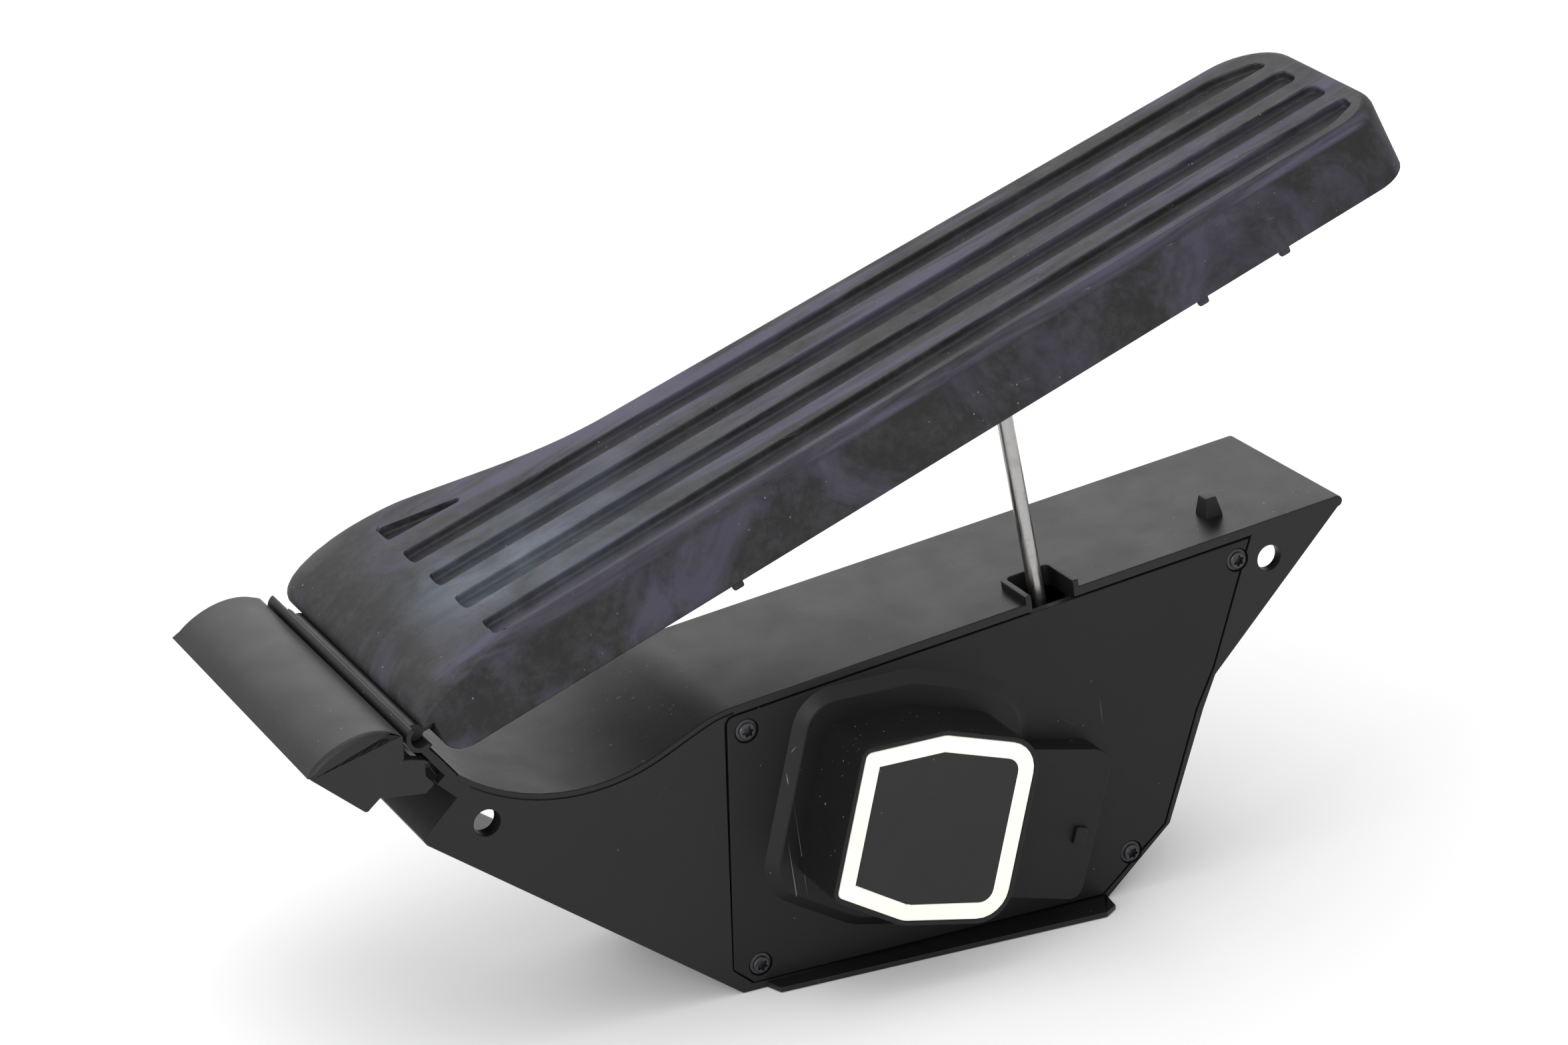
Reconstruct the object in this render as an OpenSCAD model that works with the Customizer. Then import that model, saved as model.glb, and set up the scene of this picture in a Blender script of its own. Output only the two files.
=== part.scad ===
// Floor-mounted accelerator pedal with a sealed sensor box.
// Lengths are millimetres. X runs from the heel to the toe, Y away from the viewer, Z up.
// The part is drawn with its base on Z = 0 and its near side on Y = 0, then set with
// the middle of the two mounting holes at the origin.

/* [Box] */
// Width of the box across the pedal
box_w = 52; // [48:1:60]
// Thickness of the moulded walls
wall = 3; // [2.6:0.1:3.4]
// Height of the hinge above the base
hinge_h = 85.6; // [84:0.2:87]
// Height of the deck above the base where its slope begins
deck_h = 74.8; // [72:0.2:76]
// Upward slope of the deck towards the toe
deck_slope = 6.6; // [5:0.2:7]
// Distance from the heel end to the toe tip of the deck
deck_reach = 248.6; // [242:0.5:254]
// Radius of the hollow between ramp and deck
hollow_r = 48.5; // [46:0.5:51]
// Where the flat base ends at the toe
base_end = 179.3; // [176:0.5:182]
// Depth of the screw bosses behind the cover
boss_len = 16; // [12:0.5:20]

/* [Ramp] */
// Width of the ramp that the hinge runs along
ramp_w = 95; // [90:0.5:97]
// Thickness of the ramp
ramp_t = 2; // [1.8:0.1:2.4]
// Thickness of the ribs under the ramp and deck
rib_t = 2.2; // [1.8:0.1:2.6]
// How far the foot ledge stands out at the toe
ledge_out = 9; // [6:0.5:11]

/* [Mounting] */
// Radius of the mounting holes
mount_r = 3.3; // [2.7:0.05:3.8]
// Distance between the two mounting holes
mount_pitch = 213.3; // [211:0.1:215]
// Radius of the boss round the heel mounting hole
mount_boss_r = 6.5; // [6:0.1:7.5]

/* [Cover] */
// Thickness of the side cover
cover_t = 2.5; // [2.2:0.1:2.8]
// Gap round the side cover
cover_gap = 0.4; // [0.3:0.05:0.6]
// Width of the band of wall left above the cover
cover_band = 2.2; // [1.8:0.1:2.6]
// Radius of the cover screws' heads
screw_head_r = 2.9; // [2.6:0.1:3.2]
// Radius of the cover screws' threads
screw_r = 1.4; // [1.2:0.05:1.6]
// How far the sensor block stands out
block_out = 21; // [18:0.5:24]
// Thickness of the sensor block's wall
block_wall = 2.2; // [1.8:0.1:2.6]
// Width of the pale seal ring
seal_w = 3.4; // [2.8:0.1:4]
// Height of the raised foot round the sensor block
foot_out = 2; // [1.4:0.1:2.6]
// How far the connector lug stands out
lug_out = 7; // [6.6:0.1:8]
// Width of the connector's mouth
socket_w = 24; // [20:0.5:26]
// Depth of the connector's mouth
socket_d = 13; // [11:0.5:15]

/* [Pedal] */
// Angle of the pedal above level at rest
pedal_angle = 20; // [19.5:0.1:20.5]
// Length of the pad from the hinge to the toe
pad_len = 286; // [280:0.5:292]
// Width of the pad's top at the toe
pad_toe_w = 63; // [60:0.5:66]
// Extra width of the pad's flared heel
pad_flare = 21.5; // [18:0.5:22]
// Height of the pad's top above the hinge
pad_top = 10.2; // [9.8:0.1:10.8]
// Depth of the pad's skirt below the hinge
pad_drop = 8.6; // [8.4:0.1:9]
// Thickness of the rubber skirt
skirt_t = 2.4; // [2.2:0.1:2.6]
// Thickness of the rubber over the pedal plate
rubber_t = 5.5; // [5:0.1:6]
// Width of the grooves
groove_w = 7.4; // [6.5:0.1:8]
// Depth of the grooves
groove_d = 2.2; // [1.6:0.1:2.6]
// Number of long grooves
groove_count = 4; // [3:1:4]
// Radius of the corners at the pad's toe
toe_r = 15; // [12:0.5:17]
// Thickness of the pedal plate
plate_t = 3; // [2.6:0.1:3.4]

/* [Hinge] */
// Radius of the hinge bead
bead_r = 2.2; // [2:0.05:2.4]
// Length of the hinge bead
bead_len = 78.5; // [74:0.5:80]
// Clearance round the bead
bead_gap = 0.08; // [0.05:0.01:0.1]
// Wall of the hinge trough
trough_wall = 1.3; // [1.2:0.1:1.5]

/* [Heel cap] */
// Width of the heel cap
cap_w = 97; // [95.5:0.5:99]
// Wall of the heel cap
cap_wall = 2.5; // [2.1:0.1:2.8]

/* [Push rod] */
// Radius of the push rod
rod_r = 2; // [1.8:0.05:2.2]
// Where the rod's pivot lies along the pedal
rod_at = 164.8; // [163.5:0.1:166]
// How far the rod stands in from the near side
rod_y = 8; // [7.8:0.1:8.6]
// Radius of the rod's foot
foot_r = 3.5; // [3.2:0.1:3.8]
// Running clearance round pins
pin_gap = 0.08; // [0.05:0.01:0.1]

/* [Lever] */
// Distance of the lever's axis from the heel end
lever_x = 122; // [121:0.1:123]
// Height of the lever's axis above the base
lever_h = 30.5; // [29.5:0.1:31.5]
// Radius of the lever's hub
hub_r = 9; // [8.6:0.1:9.4]
// Radius of the lever's shaft
shaft_r = 3; // [2.5:0.05:3.4]
// Radius of the spring wire
wire_r = 1.1; // [0.9:0.05:1.2]
// Turns of each return spring
spring_turns = 3; // [2:1:4]
// Radius of the magnet
magnet_r = 5; // [4.5:0.1:5.5]
// Thickness of the sensor board
board_t = 1.6; // [1.2:0.1:2]

/* [Hidden] */
$fn = 48;
eps = 0.01;
seat_gap = 0.3;
run_gap = 0.35;
head_gap = 0.15;
boss_grow = 1;
screw_sink = 1.2;
seal_depth = 2;

// Small helpers for outlines. An outline point is [x, z] or [x, z, corner radius].
function flat(p) = [p[0], p[1]];
function unit(v) = v / norm(v);
function left_of(v) = [-v.y, v.x];
function backwards(list) = [for (i = [len(list) - 1:-1:0]) list[i]];
function on_arc(centre, r, a) = centre + r * [cos(a), sin(a)];
function arc(centre, r, a0, a1, n) = [for (i = [0:n]) on_arc(centre, r, a0 + (a1 - a0) * i / n)];
// An outline moved sideways: a positive distance grows an anticlockwise outline.
function grown(pts, d) =
    [for (i = [0:len(pts) - 1])
        let(n = len(pts), p = flat(pts[i]), a = left_of(unit(p - flat(pts[(i + n - 1) % n]))),
            b = left_of(unit(flat(pts[(i + 1) % n]) - p)), q = p - d * (a + b) / (1 + a * b))
        len(pts[i]) > 2 ? [q.x, q.y, max(0, pts[i][2] + corner_turn(a, b) * d)] : q];
function corner_turn(a, b) = a.x * b.y - a.y * b.x > 0 ? 1 : -1;
// The same outline with its corners rounded by their own radii.
function soft(pts, n = 6) =
    [for (i = [0:len(pts) - 1])
        let(m = len(pts), p = flat(pts[i]), r = len(pts[i]) > 2 ? pts[i][2] : 0,
            a = unit(flat(pts[(i + m - 1) % m]) - p), b = unit(flat(pts[(i + 1) % m]) - p),
            half = acos(a * b) / 2, c = p + unit(a + b) * r / sin(half),
            q0 = p + a * r / tan(half) - c, q1 = p + b * r / tan(half) - c,
            a0 = atan2(q0.y, q0.x), turn = (atan2(q1.y, q1.x) - a0 + 540) % 360 - 180)
        each r > 0 ? arc(c, r, a0, a0 + turn, n) : [p]];
// A line moved to its left by d.
function beside(line, d) =
    [for (i = [0:len(line) - 1])
        let(a = left_of(unit(line[max(1, i)] - line[max(1, i) - 1])),
            k = min(len(line) - 2, i), b = left_of(unit(line[k + 1] - line[k])))
        line[i] + d * (a + b) / (1 + a * b)];
function mix(a, b, t) = a + (b - a) * t;

// Deck, hollow and ramp: the top line seen from the near side.
deck_x = 72;
function deck(x) = deck_h + (x - deck_x) * tan(deck_slope);
hinge_x = 0.4;
hinge = [hinge_x, hinge_h];
ramp_top = hinge + [0.15, -0.7];
ramp_foot = ramp_top + [7.95, -10.4];
hollow_c = [39.5, ramp_foot.y - 10.7 + hollow_r];
hollow_start = 180 + acos((hollow_c.x - ramp_foot.x - 0.5) / hollow_r);
hollow_end = 295;
hollow_exit = on_arc(hollow_c, hollow_r, hollow_end);
rise = tan(hollow_end - 270);
bend_x = (deck(0) - hollow_exit.y + hollow_exit.x * rise) / (rise - tan(deck_slope));
bend = [bend_x, deck(bend_x)];
bend_r = 28;
tip_r = wall / 2;
tip = [deck_reach - tip_r, deck(deck_reach - tip_r)];
tip_c = tip + tip_r * [sin(deck_slope), -cos(deck_slope)];
tip_arc = arc(tip_c, tip_r, deck_slope - 90, deck_slope + 60, 5);
bend_t = bend_r * tan((hollow_end - 270 - deck_slope) / 2);
bend_c = bend + bend_t * [cos(deck_slope), sin(deck_slope)] + bend_r * [sin(deck_slope), -cos(deck_slope)];
top_line = concat([ramp_top, ramp_foot], arc(hollow_c, hollow_r, hollow_start, hollow_end, 12),
                  arc(bend_c, bend_r, hollow_end - 180, 90 + deck_slope, 5), [tip]);

// Side outline of the box, from the base round to the hollow.
base_x = 78;
toe_wall = [[base_end, 0], [base_end + 18.7, 16.6], [base_end + 28.8, 46], [base_end + 32.3, 54.4]];
heel_end = [[0, hinge_h - 27], [-1, hinge_h - 25.4], [1.5, hinge_h - 22.9], [8, hinge_h - 16.7],
            [3.5, hinge_h - 12.2], [5.9, hinge_h - 10]];
side_outline = concat([[base_x, 0]], toe_wall,
                      tip_arc, [tip],
                      [for (i = [len(top_line) - 2:-1:1]) top_line[i]],
                      backwards(heel_end));
box_left = 74;
box_top = [base_end + 44.4, deck(base_end + 44.4) - 0.6];
box_outline = concat([[base_x, 0]], toe_wall, [box_top],
                     [[box_left, deck(box_left) - 0.6], [box_left, 3]]);
ramp_mid = beside(top_line, -ramp_t / 2);

// Side cover: parallel to the deck and set in from the toe wall.
cover_edge = [[base_x - 2.2, 6.9, 1], [base_x + 2.8, 2.4, 1], [base_end - 1.2, 1.5],
              toe_wall[1] + [-1.6, 0.4], toe_wall[2] + [-2.2, 0.4], toe_wall[3] + [-0.7, 2.3],
              [base_end + 42.2, deck(base_end + 42.2) - cover_band - 0.8],
              [base_x - 0.9, deck(base_x - 0.9) - cover_band - 0.3, 2]];
screws = [[base_x + 4.2, deck(base_x + 4.2) - 7.3], [base_x + 5, 6.6], [base_end + 7.3, 11.3],
          [base_end + 38.7, deck(base_end + 38.7) - 7.8]];

// Sensor block, its pale ring and the connector lug.
block_edge = [[92.9, 29.9, 3], [111, 18.8, 10], [139.5, 12.4, 9], [151.2, 58.3, 9], [125, 67, 4],
              [102.6, 67.1, 3]];
foot_grow = 5;
seal_in = 1.2;
seal_rest = 1.8;
board_y = -4.4;
board_hole = [108, 56];
lug_edge = [[140, 13.4], [167.8, 5.6, 3.4], [178.5, 44.3, 5.5], [146, 51.8]];
lug_dir = unit([lug_edge[2].x - lug_edge[1].x, lug_edge[2].y - lug_edge[1].y]);
lug_mid = [(lug_edge[1].x + lug_edge[2].x) / 2, (lug_edge[1].y + lug_edge[2].y) / 2];
lug_turn = atan2(lug_dir.y, lug_dir.x) - 90;

// Mounting holes lie on a line parallel to the deck.
mount_heel = [15.1, ramp_foot.y - 13.7];
mount_dir = [cos(deck_slope - 0.75), sin(deck_slope - 0.75)];
mount_toe = mount_heel + mount_pitch * mount_dir;
mount_mid = (mount_heel + mount_toe) / 2;

// Pad profile. Levels are heights above the hinge axis, normal to the pedal.
plate_top = pad_top - rubber_t;
plate_low = plate_top - plate_t;
crease = pad_top - 3;
far_top = 72.4;
heel_in = 26.5;
lip_n = 1.5;
skew = 3.5;
function fraction(n, low, high) = min(1, max(0, (n - low) / (high - low)));
function near_edge(u, n) =
    n < crease ? mix(0.0115 * u, 1 + 0.0238 * u, fraction(n, -pad_drop, crease))
               : mix(1 + 0.0238 * u, 5.2 + 0.0155 * u, fraction(n, crease, pad_top));
function flare(u) = u < 10 ? 1 : u > 90 ? 0 : (1 + cos(180 * (u - 10) / 80)) / 2;
function far_edge(u, n) = 9.4 + pad_toe_w + 0.018 * (pad_len - u) + pad_flare * flare(u)
                          + 4 * (pad_top - n) / (pad_top + pad_drop) - edge_in(n);
function edge_in(n) = n < crease ? 0 : 2.6 * (1 - sqrt(1 - pow(fraction(n, crease, pad_top), 2)));
// The heel edge rolls down from the top to the hinge, and tucks under behind it.
function heel_edge(n) =
    n > lip_n ? 1.6 + (heel_in - 1.6) * pow(fraction(n, 2.2, pad_top), 2.2)
             : 4.4 + 5 * (1 - sqrt(1 - pow(1 - fraction(n, -pad_drop, -3), 2)));
function toe_edge(n) = pad_len - edge_in(n);
function pad_ring(n, inset = 0) =
    let(h = heel_edge(n) + inset, t = toe_edge(n) - inset, r = max(1, toe_r - inset))
    soft(concat([[h, near_edge(h, n) + inset, 1]],
                [[t, near_edge(t, n) + inset, r - 3]],
                [[t + skew, far_edge(t, n) - inset, r]],
                [for (u = [100:-10:30]) [u, far_edge(u, n) - inset]],
                [[h, far_edge(h + 12, n) - inset + 1, 11]]), 6);

plate_in = skirt_t + seat_gap;
rib_low = -5.4;
bead_y0 = 3.9;
web_t = 2.2;
web_reach = heel_edge(-3) + plate_in + 4;

// Rod and lever, in the side view.
function on_pedal_at(u, n, a = pedal_angle) = hinge + [u * cos(a) - n * sin(a), u * sin(a) + n * cos(a)];
rod_n = -3;
rod_top = on_pedal_at(rod_at, rod_n);
rod_lean = 9.4;
rod_len = 78;
rod_foot_at = rod_top + rod_len * [sin(rod_lean), -cos(rod_lean)];
lever_at = [lever_x, lever_h];
arm_vec = rod_foot_at - lever_at;
arm_angle = atan2(arm_vec.y, arm_vec.x);
arm_len = norm(arm_vec);

// The clip that holds the rod's bent end, and its two pegs.
clip_y = rod_y + 9;
clip_half = 3;
clip_wall = 2.1;
clip_pegs = [rod_at - 9.5, rod_at + 9.5];
peg_r = 1.5;

// Stations of the lever along its shaft.
near_face = cover_t + 0.7;
bearing_end = near_face + 4.6;
arm_y0 = bearing_end + run_gap + 0.25;
arm_w = 5.4;
hub_end = box_w - wall - 4.6;
core_r = hub_r - 0.4;
shaft_y0 = near_face + 6.5;
shaft_end = box_w - 1.5;
spring_r = core_r + wire_r + seat_gap;

module in_place() {
    translate([-mount_mid.x, 0, -mount_mid.y]) children();
}

// Sweeps a side outline from y0 to y1.
module side(y0, y1, pts) {
    translate([0, y1, 0]) rotate([90, 0, 0]) linear_extrude(y1 - y0) polygon(pts);
}

module round_y(p, r, y0, y1) {
    translate([p.x, y1, p.y]) rotate([90, 0, 0]) cylinder(r = r, h = y1 - y0);
}

module on_pedal() {
    translate([hinge.x, 0, hinge.y]) rotate([0, -pedal_angle, 0]) children();
}

// Places a piece in the deck's own slope, s along it from the heel end of the slope.
module on_deck(s) {
    translate([deck_x, 0, deck_h]) rotate([0, -deck_slope, 0]) translate([s - deck_x, 0, 0]) children();
}

// A closed tube of rings, each a list of points in space.
module skin_of(rings) {
    n = len(rings[0]);
    m = len(rings);
    polyhedron(points = [for (r = rings) each r],
               faces = concat([[for (i = [0:n - 1]) i]],
                              [for (k = [0:m - 2], i = [0:n - 1])
                                  [k * n + i, (k + 1) * n + i, (k + 1) * n + (i + 1) % n, k * n + (i + 1) % n]],
                              [[for (i = [n - 1:-1:0]) (m - 1) * n + i]]), convexity = 6);
}

// Pocket in the deck that the rod passes through.
pocket_s = 166.2;
pocket_half = 5.8;
pocket_y = 13;
pocket_r = 1.3;
pocket_rim = 1.7;
pocket_up = 2;
function pocket_edge(y0, out) =
    let(half = pocket_half + out, back = pocket_y + out, r = pocket_r + out)
    soft([[-half, y0], [half, y0], [half, back, r], [-half, back, r]]);
module pocket_hole() {
    on_deck(pocket_s) translate([0, 0, -cover_band - wall]) linear_extrude(20) polygon(pocket_edge(-1, 0));
}
module pocket_rim() {
    difference() {
        on_deck(pocket_s) translate([0, 0, -wall])
            linear_extrude(wall + pocket_up) polygon(pocket_edge(0, pocket_rim));
        pocket_hole();
    }
}

// Raised stop that the pedal comes down on.
stop_s = 219;
stop_high = 5.2;
stop_half = [2.35, 2.85];
stop_taper = 0.85;
function stop_side(half) = [[-half, -1], [half, -1], [half, 0.6], [half - stop_taper, stop_high],
                            [stop_taper - half, stop_high], [-half, 0.6]];
module stop_nub() {
    on_deck(stop_s) translate([0, 13.5, 0]) intersection() {
        rotate([90, 0, 0]) linear_extrude(12, center = true) polygon(stop_side(stop_half.x));
        rotate([90, 0, 90]) linear_extrude(12, center = true) polygon(stop_side(stop_half.y));
    }
}

// Hinge trough: a sleeve that stays open where the pedal's web swings.
trough_r = bead_r + bead_gap + trough_wall;
module trough() {
    difference() {
        round_y(hinge, trough_r, 0, ramp_w);
        round_y(hinge, bead_r + bead_gap, -1, ramp_w + 1);
        side(-1, ramp_w + 1, [hinge, hinge + [9, -7], hinge + [9, 9], hinge + [-5.6, 9]]);
    }
}

// Rail under the ramp that the heel cap's hooks take hold of.
rail_at = ramp_top + [2, -7.4];
rail_w = 2;
rail_ribs = [for (i = [0:3]) wall + (ramp_w - 2 * wall) * (i + 0.5) / 4];

module heel_ribs() {
    rib_edge = concat([for (i = [0:4]) ramp_mid[i]],
                      [[24, hinge_h - 27.4], [14, hinge_h - 24], [8.4, hinge_h - 16.7],
                       [rail_at.x + rail_w, rail_at.y - rail_w / 2 - 0.6],
                       [rail_at.x - rail_w / 2, rail_at.y - rail_w / 2],
                       [rail_at.x - rail_w / 2, rail_at.y + rail_w]]);
    for (y = rail_ribs) side(y - rib_t / 2, y + rib_t / 2, rib_edge);
}

// Cells behind the heel plate, open at the far side.
cell_x = [9, 48];
module cell_ribs() {
    intersection() {
        side(wall - eps, box_w, side_outline);
        union() {
            for (x = cell_x) translate([x, 0, 0]) cube([rib_t, box_w, 110]);
            translate([cell_x[1], 0, hinge_h - 42]) cube([box_left - cell_x[1], box_w, rib_t]);
        }
    }
}

heel_rim = concat([[box_left + 2, 3]], [heel_end[0], heel_end[1], heel_end[2], heel_end[3]],
                  [heel_end[3] + [1.6, wall * 0.4], heel_end[2] + [2.6, -wall * 0.5],
                   heel_end[0] + [1.4, wall * 0.9], [box_left + 2, 3 + wall * 1.25]]);

module housing() {
    color("#1d1f21") in_place() difference() {
        union() {
            side(0, wall, side_outline);
            difference() {
                side(0, box_w, box_outline);
                side(wall, box_w - wall, grown(box_outline, -wall));
            }
            side(wall / 2, wall + cover_t, grown(box_outline, -wall / 2));
            deck_skin();
            ramp_skin();
            trough();
            heel_ribs();
            side(wall, ramp_w - wall, [for (c = [[-1, -1], [1, -1], [1, 1], [-1, 1]]) rail_at + c * rail_w / 2]);
            cell_ribs();
            side(0, box_w, heel_rim);
            flange_ribs();
            ledge();
            pocket_rim();
            stop_nub();
            spring_stop();
            round_y(mount_heel, mount_boss_r, 0, wall + 1.5);
            for (s = screws) intersection() {
                round_y(s, screw_head_r + boss_grow, wall - eps, cover_t + boss_len);
                side(0, box_w, box_outline);
            }
            round_y(lever_at, hub_r, hub_end + 0.9, box_w - wall + eps);
        }
        side(-1, cover_t, grown(soft(cover_edge), cover_gap));
        side(cover_t - eps, wall + cover_t + 1, soft(grown(cover_edge, -3.2)));
        for (s = screws) {
            round_y(s, screw_r + pin_gap, cover_t - 1, cover_t + boss_len - 2);
            round_y(s, screw_head_r + head_gap, -1, screw_sink);
        }
        round_y(mount_heel, mount_r, -1, box_w + 1);
        round_y(mount_toe, mount_r, -1, box_w + 1);
        round_y(lever_at, shaft_r + 0.02, hub_end - 5, shaft_end + seat_gap);
        round_y(hinge, bead_r + bead_gap, -1, ramp_w + 1);
        pocket_hole();
    }
}

module deck_skin() {
    line = [for (p = top_line) if (p.x > ramp_foot.x - eps) p];
    under = beside(line, -wall);
    side(0, box_w, concat(backwards(line), [for (i = [0:len(under) - 2]) under[i]], tip_arc));
}

module ramp_skin() {
    line = [for (i = [0:4]) top_line[i]];
    side(0, ramp_w, concat(backwards(line), beside(line, -ramp_t)));
}

// Stiffeners under the deck's overhang at the toe.
module flange_ribs() {
    edge = [box_top - [14, 4], box_top - [12.4, 14], tip - [6, 4], tip - [2, 1], box_top + [-4, -1.6]];
    for (y = [box_w / 2, box_w - rib_t]) side(y, y + rib_t, edge);
}

module ledge() {
    linear_extrude(wall / 2)
        polygon([[base_x + 6, 1], [base_x + 8, -ledge_out / 2], [base_end - 4.9, -ledge_out],
                 [base_end - 1, -ledge_out + 2.6], [base_end, 1]]);
}

// Cover with the sensor block, its raised foot and the connector lug.
module side_cover() {
    color("#222426") in_place() difference() {
        union() {
            side(0, cover_t, soft(cover_edge));
            foot();
            side(-block_out, cover_t / 2, soft(block_edge));
            side(-lug_out, cover_t / 2, soft(lug_edge));
            latch();
            difference() {
                round_y(lever_at, hub_r + 3.6, cover_t - eps, bearing_end);
                round_y(lever_at, hub_r + 1.6, cover_t, bearing_end + 1);
            }
        }
        side(-block_out - 1, -block_out + seal_depth, soft(grown(block_edge, -seal_in)));
        side(-block_out, 0, soft(grown(block_edge, -block_wall - seal_rest)));
        side(-block_out + seal_depth + seal_rest, 0, soft(grown(block_edge, -block_wall)));
        translate([lug_mid.x, -lug_out / 2 + 0.3, lug_mid.y]) rotate([0, -lug_turn, 0])
            translate([-socket_d, -lug_out / 2 + 0.9, -socket_w / 2]) cube([socket_d + 5, lug_out - 1.8, socket_w]);
        for (s = screws) {
            round_y(s, screw_r + 0.3, -2, cover_t + 1);
            round_y(s, screw_head_r + head_gap, -2, screw_sink);
        }
    }
}

// Raised foot of the block, with a chamfer all round.
module foot() {
    hull() {
        side(-foot_out, -foot_out / 2, soft(grown(block_edge, foot_grow - foot_out)));
        side(-eps, cover_t / 2, soft(grown(block_edge, foot_grow)));
    }
}
module latch() {
    translate([lug_mid.x, 0, lug_mid.y]) rotate([0, -lug_turn, 0])
        translate([-6.6, -lug_out - 1.2, -4.8]) difference() {
            cube([3.4, 2.2, 4.4]);
            rotate([0, 0, 32]) translate([-4, -3, -1]) cube([4, 6, 8]);
        }
}

module cover_screw(i) {
    s = screws[i];
    color("#3a3c3f") in_place() difference() {
        union() {
            round_y(s, screw_head_r, screw_sink - 2, screw_sink - 0.02);
            round_y(s, screw_r, screw_sink - 0.1, cover_t + boss_len - 4);
        }
        for (a = [0:60:179]) translate([s.x, screw_sink - 2, s.y]) rotate([0, a, 0])
            cube([screw_head_r * 0.95, 2, screw_head_r * 0.3], center = true);
    }
}

module sensor_lid() {
    color("#1b1c1e") in_place()
        side(-block_out + 0.3, -block_out + seal_depth - 0.02, soft(grown(block_edge, -seal_in - seal_w)));
}

module seal_ring() {
    color("#e9e4d3") in_place() difference() {
        side(-block_out, -block_out + seal_depth, soft(grown(block_edge, -seal_in - 0.05)));
        side(-block_out - 1, -block_out + seal_depth + 1, soft(grown(block_edge, -seal_in - seal_w + 0.05)));
    }
}

module sensor_board() {
    color("#2f6b3a") in_place() difference() {
        side(board_y - board_t, board_y, soft(grown(block_edge, -block_wall - 0.5)));
        round_y(board_hole, 1.6, board_y - 5, board_y + 1);
    }
}

module hall_sensor() {
    size = [5, 1.4, 4];
    color("#2b2d30") in_place() translate([lever_at.x - size.x / 2, board_y, lever_at.y - size.z / 2]) cube(size);
}

module connector_pins() {
    color("#c9a349") in_place()
        translate([lug_mid.x, -lug_out / 2 + 0.3, lug_mid.y]) rotate([0, -lug_turn, 0])
            for (i = [0:5]) translate([-socket_d - 2, -0.4, (i - 2.5) * socket_w / 6.5 - 0.6]) cube([9, 0.8, 1.2]);
}

// Heel cap: a hollow D section with end cheeks and hooks that reach under the ramp.
cap_outline = [[-27.4, hinge_h - 3.5, 1], [-14, hinge_h - 15.3, 1], [-10.4, hinge_h - 12.5],
               [-6.9, hinge_h - 8.8], [-3.9, hinge_h - 4], [-3.9, hinge_h + 1.6, 0.5],
               [-8.2, hinge_h + 3.6, 4], [-12.4, hinge_h + 3.3, 5], [-23.7, hinge_h - 0.4, 2]];
hook_outline = [[-13.5, hinge_h - 13.6], [-10.4, hinge_h - 12.5], [0.75, hinge_h - 14], [3.05, hinge_h - 11.9],
                [rail_at.x - 1.5, rail_at.y - 1.4], [rail_at.x - 1.5, rail_at.y + 1.5],
                [rail_at.x + 2 - 1.2 * ramp_t, rail_at.y + 1.5],
                [rail_at.x + 1.1 - 1.2 * ramp_t, rail_at.y + 2.6],
                [-2.2, hinge_h - 4.6], [-6, hinge_h - 4]];
module heel_cap() {
    tongues = [0, for (i = [1:3]) wall + (ramp_w - 2 * wall) * i / 4 - wall / 2, cap_w - wall];
    color("#1f2124") in_place() difference() {
        union() {
            difference() {
                side(0, cap_w, soft(cap_outline));
                side(wall, cap_w - wall, soft(grown(cap_outline, -cap_wall)));
                side(wall, cap_w - wall, [[-26, hinge_h - 18], [-6.5, hinge_h - 18], [-9.5, hinge_h - 8.8],
                                          [-19, hinge_h - 7]]);
            }
            for (y = tongues) side(y, y + wall, hook_outline);
        }
        round_y(hinge, trough_r + seat_gap, -1, cap_w + 1);
    }
}

module pad_body() {
    levels = concat([-pad_drop, -7.2, -5.6, -3, lip_n - 0.05], [lip_n + 0.05, 2.2, 3.4, 5, crease],
                    [for (i = [1:5]) crease + (pad_top - crease) * sin(18 * i)]);
    skin_of([for (n = levels) [for (p = pad_ring(n)) [p.x, p.y, n]]]);
}

// The hollow starts farther in below the ribs, behind the tucked heel.
module pad_hollow() {
    edge = pad_ring(0, skirt_t);
    low = rib_low - 0.2;
    heel = heel_edge(-pad_drop) + skirt_t;
    translate([0, 0, low]) linear_extrude(plate_top - low) polygon(edge);
    translate([0, 0, -pad_drop - 1]) linear_extrude(pad_drop + 2 + low)
        polygon([for (p = edge) [max(p.x, heel), p.y]]);
}

// Grooves have square heel ends, and the outer two follow the round corners at the toe.
groove_start = 27.4;
groove_stop = pad_len - 5;
function groove_edge(k) =
    let(a = 36 + 17 * k, b = 38.4 + 14.75 * k, h = groove_w / 2, t = groove_stop,
        toe = k < -1 ? [[t - 9, b - h, 14], [t - 0.5, b, 2.2], [t, b + h, 1.5]] :
              k > 1 ? [[t, b - h, 1.2], [t - 1.8, b, 3], [t - 11, b + h, 14]] :
              [[t, b - h, 2.4], [t, b + h, 2.4]])
    concat([[groove_start, a - h, 1.2]], toe, [[groove_start, a + h, 1.2]]);
short_groove = [[groove_start, 75.5, 1.2], [groove_start + 19, 74.4, 0.7], [groove_start + 19.3, 76.3, 0.7],
                [groove_start, 83, 1.4]];
module groove(edge) {
    translate([0, 0, pad_top - groove_d]) linear_extrude(groove_d + 1) polygon(soft(edge, 4));
}

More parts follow.
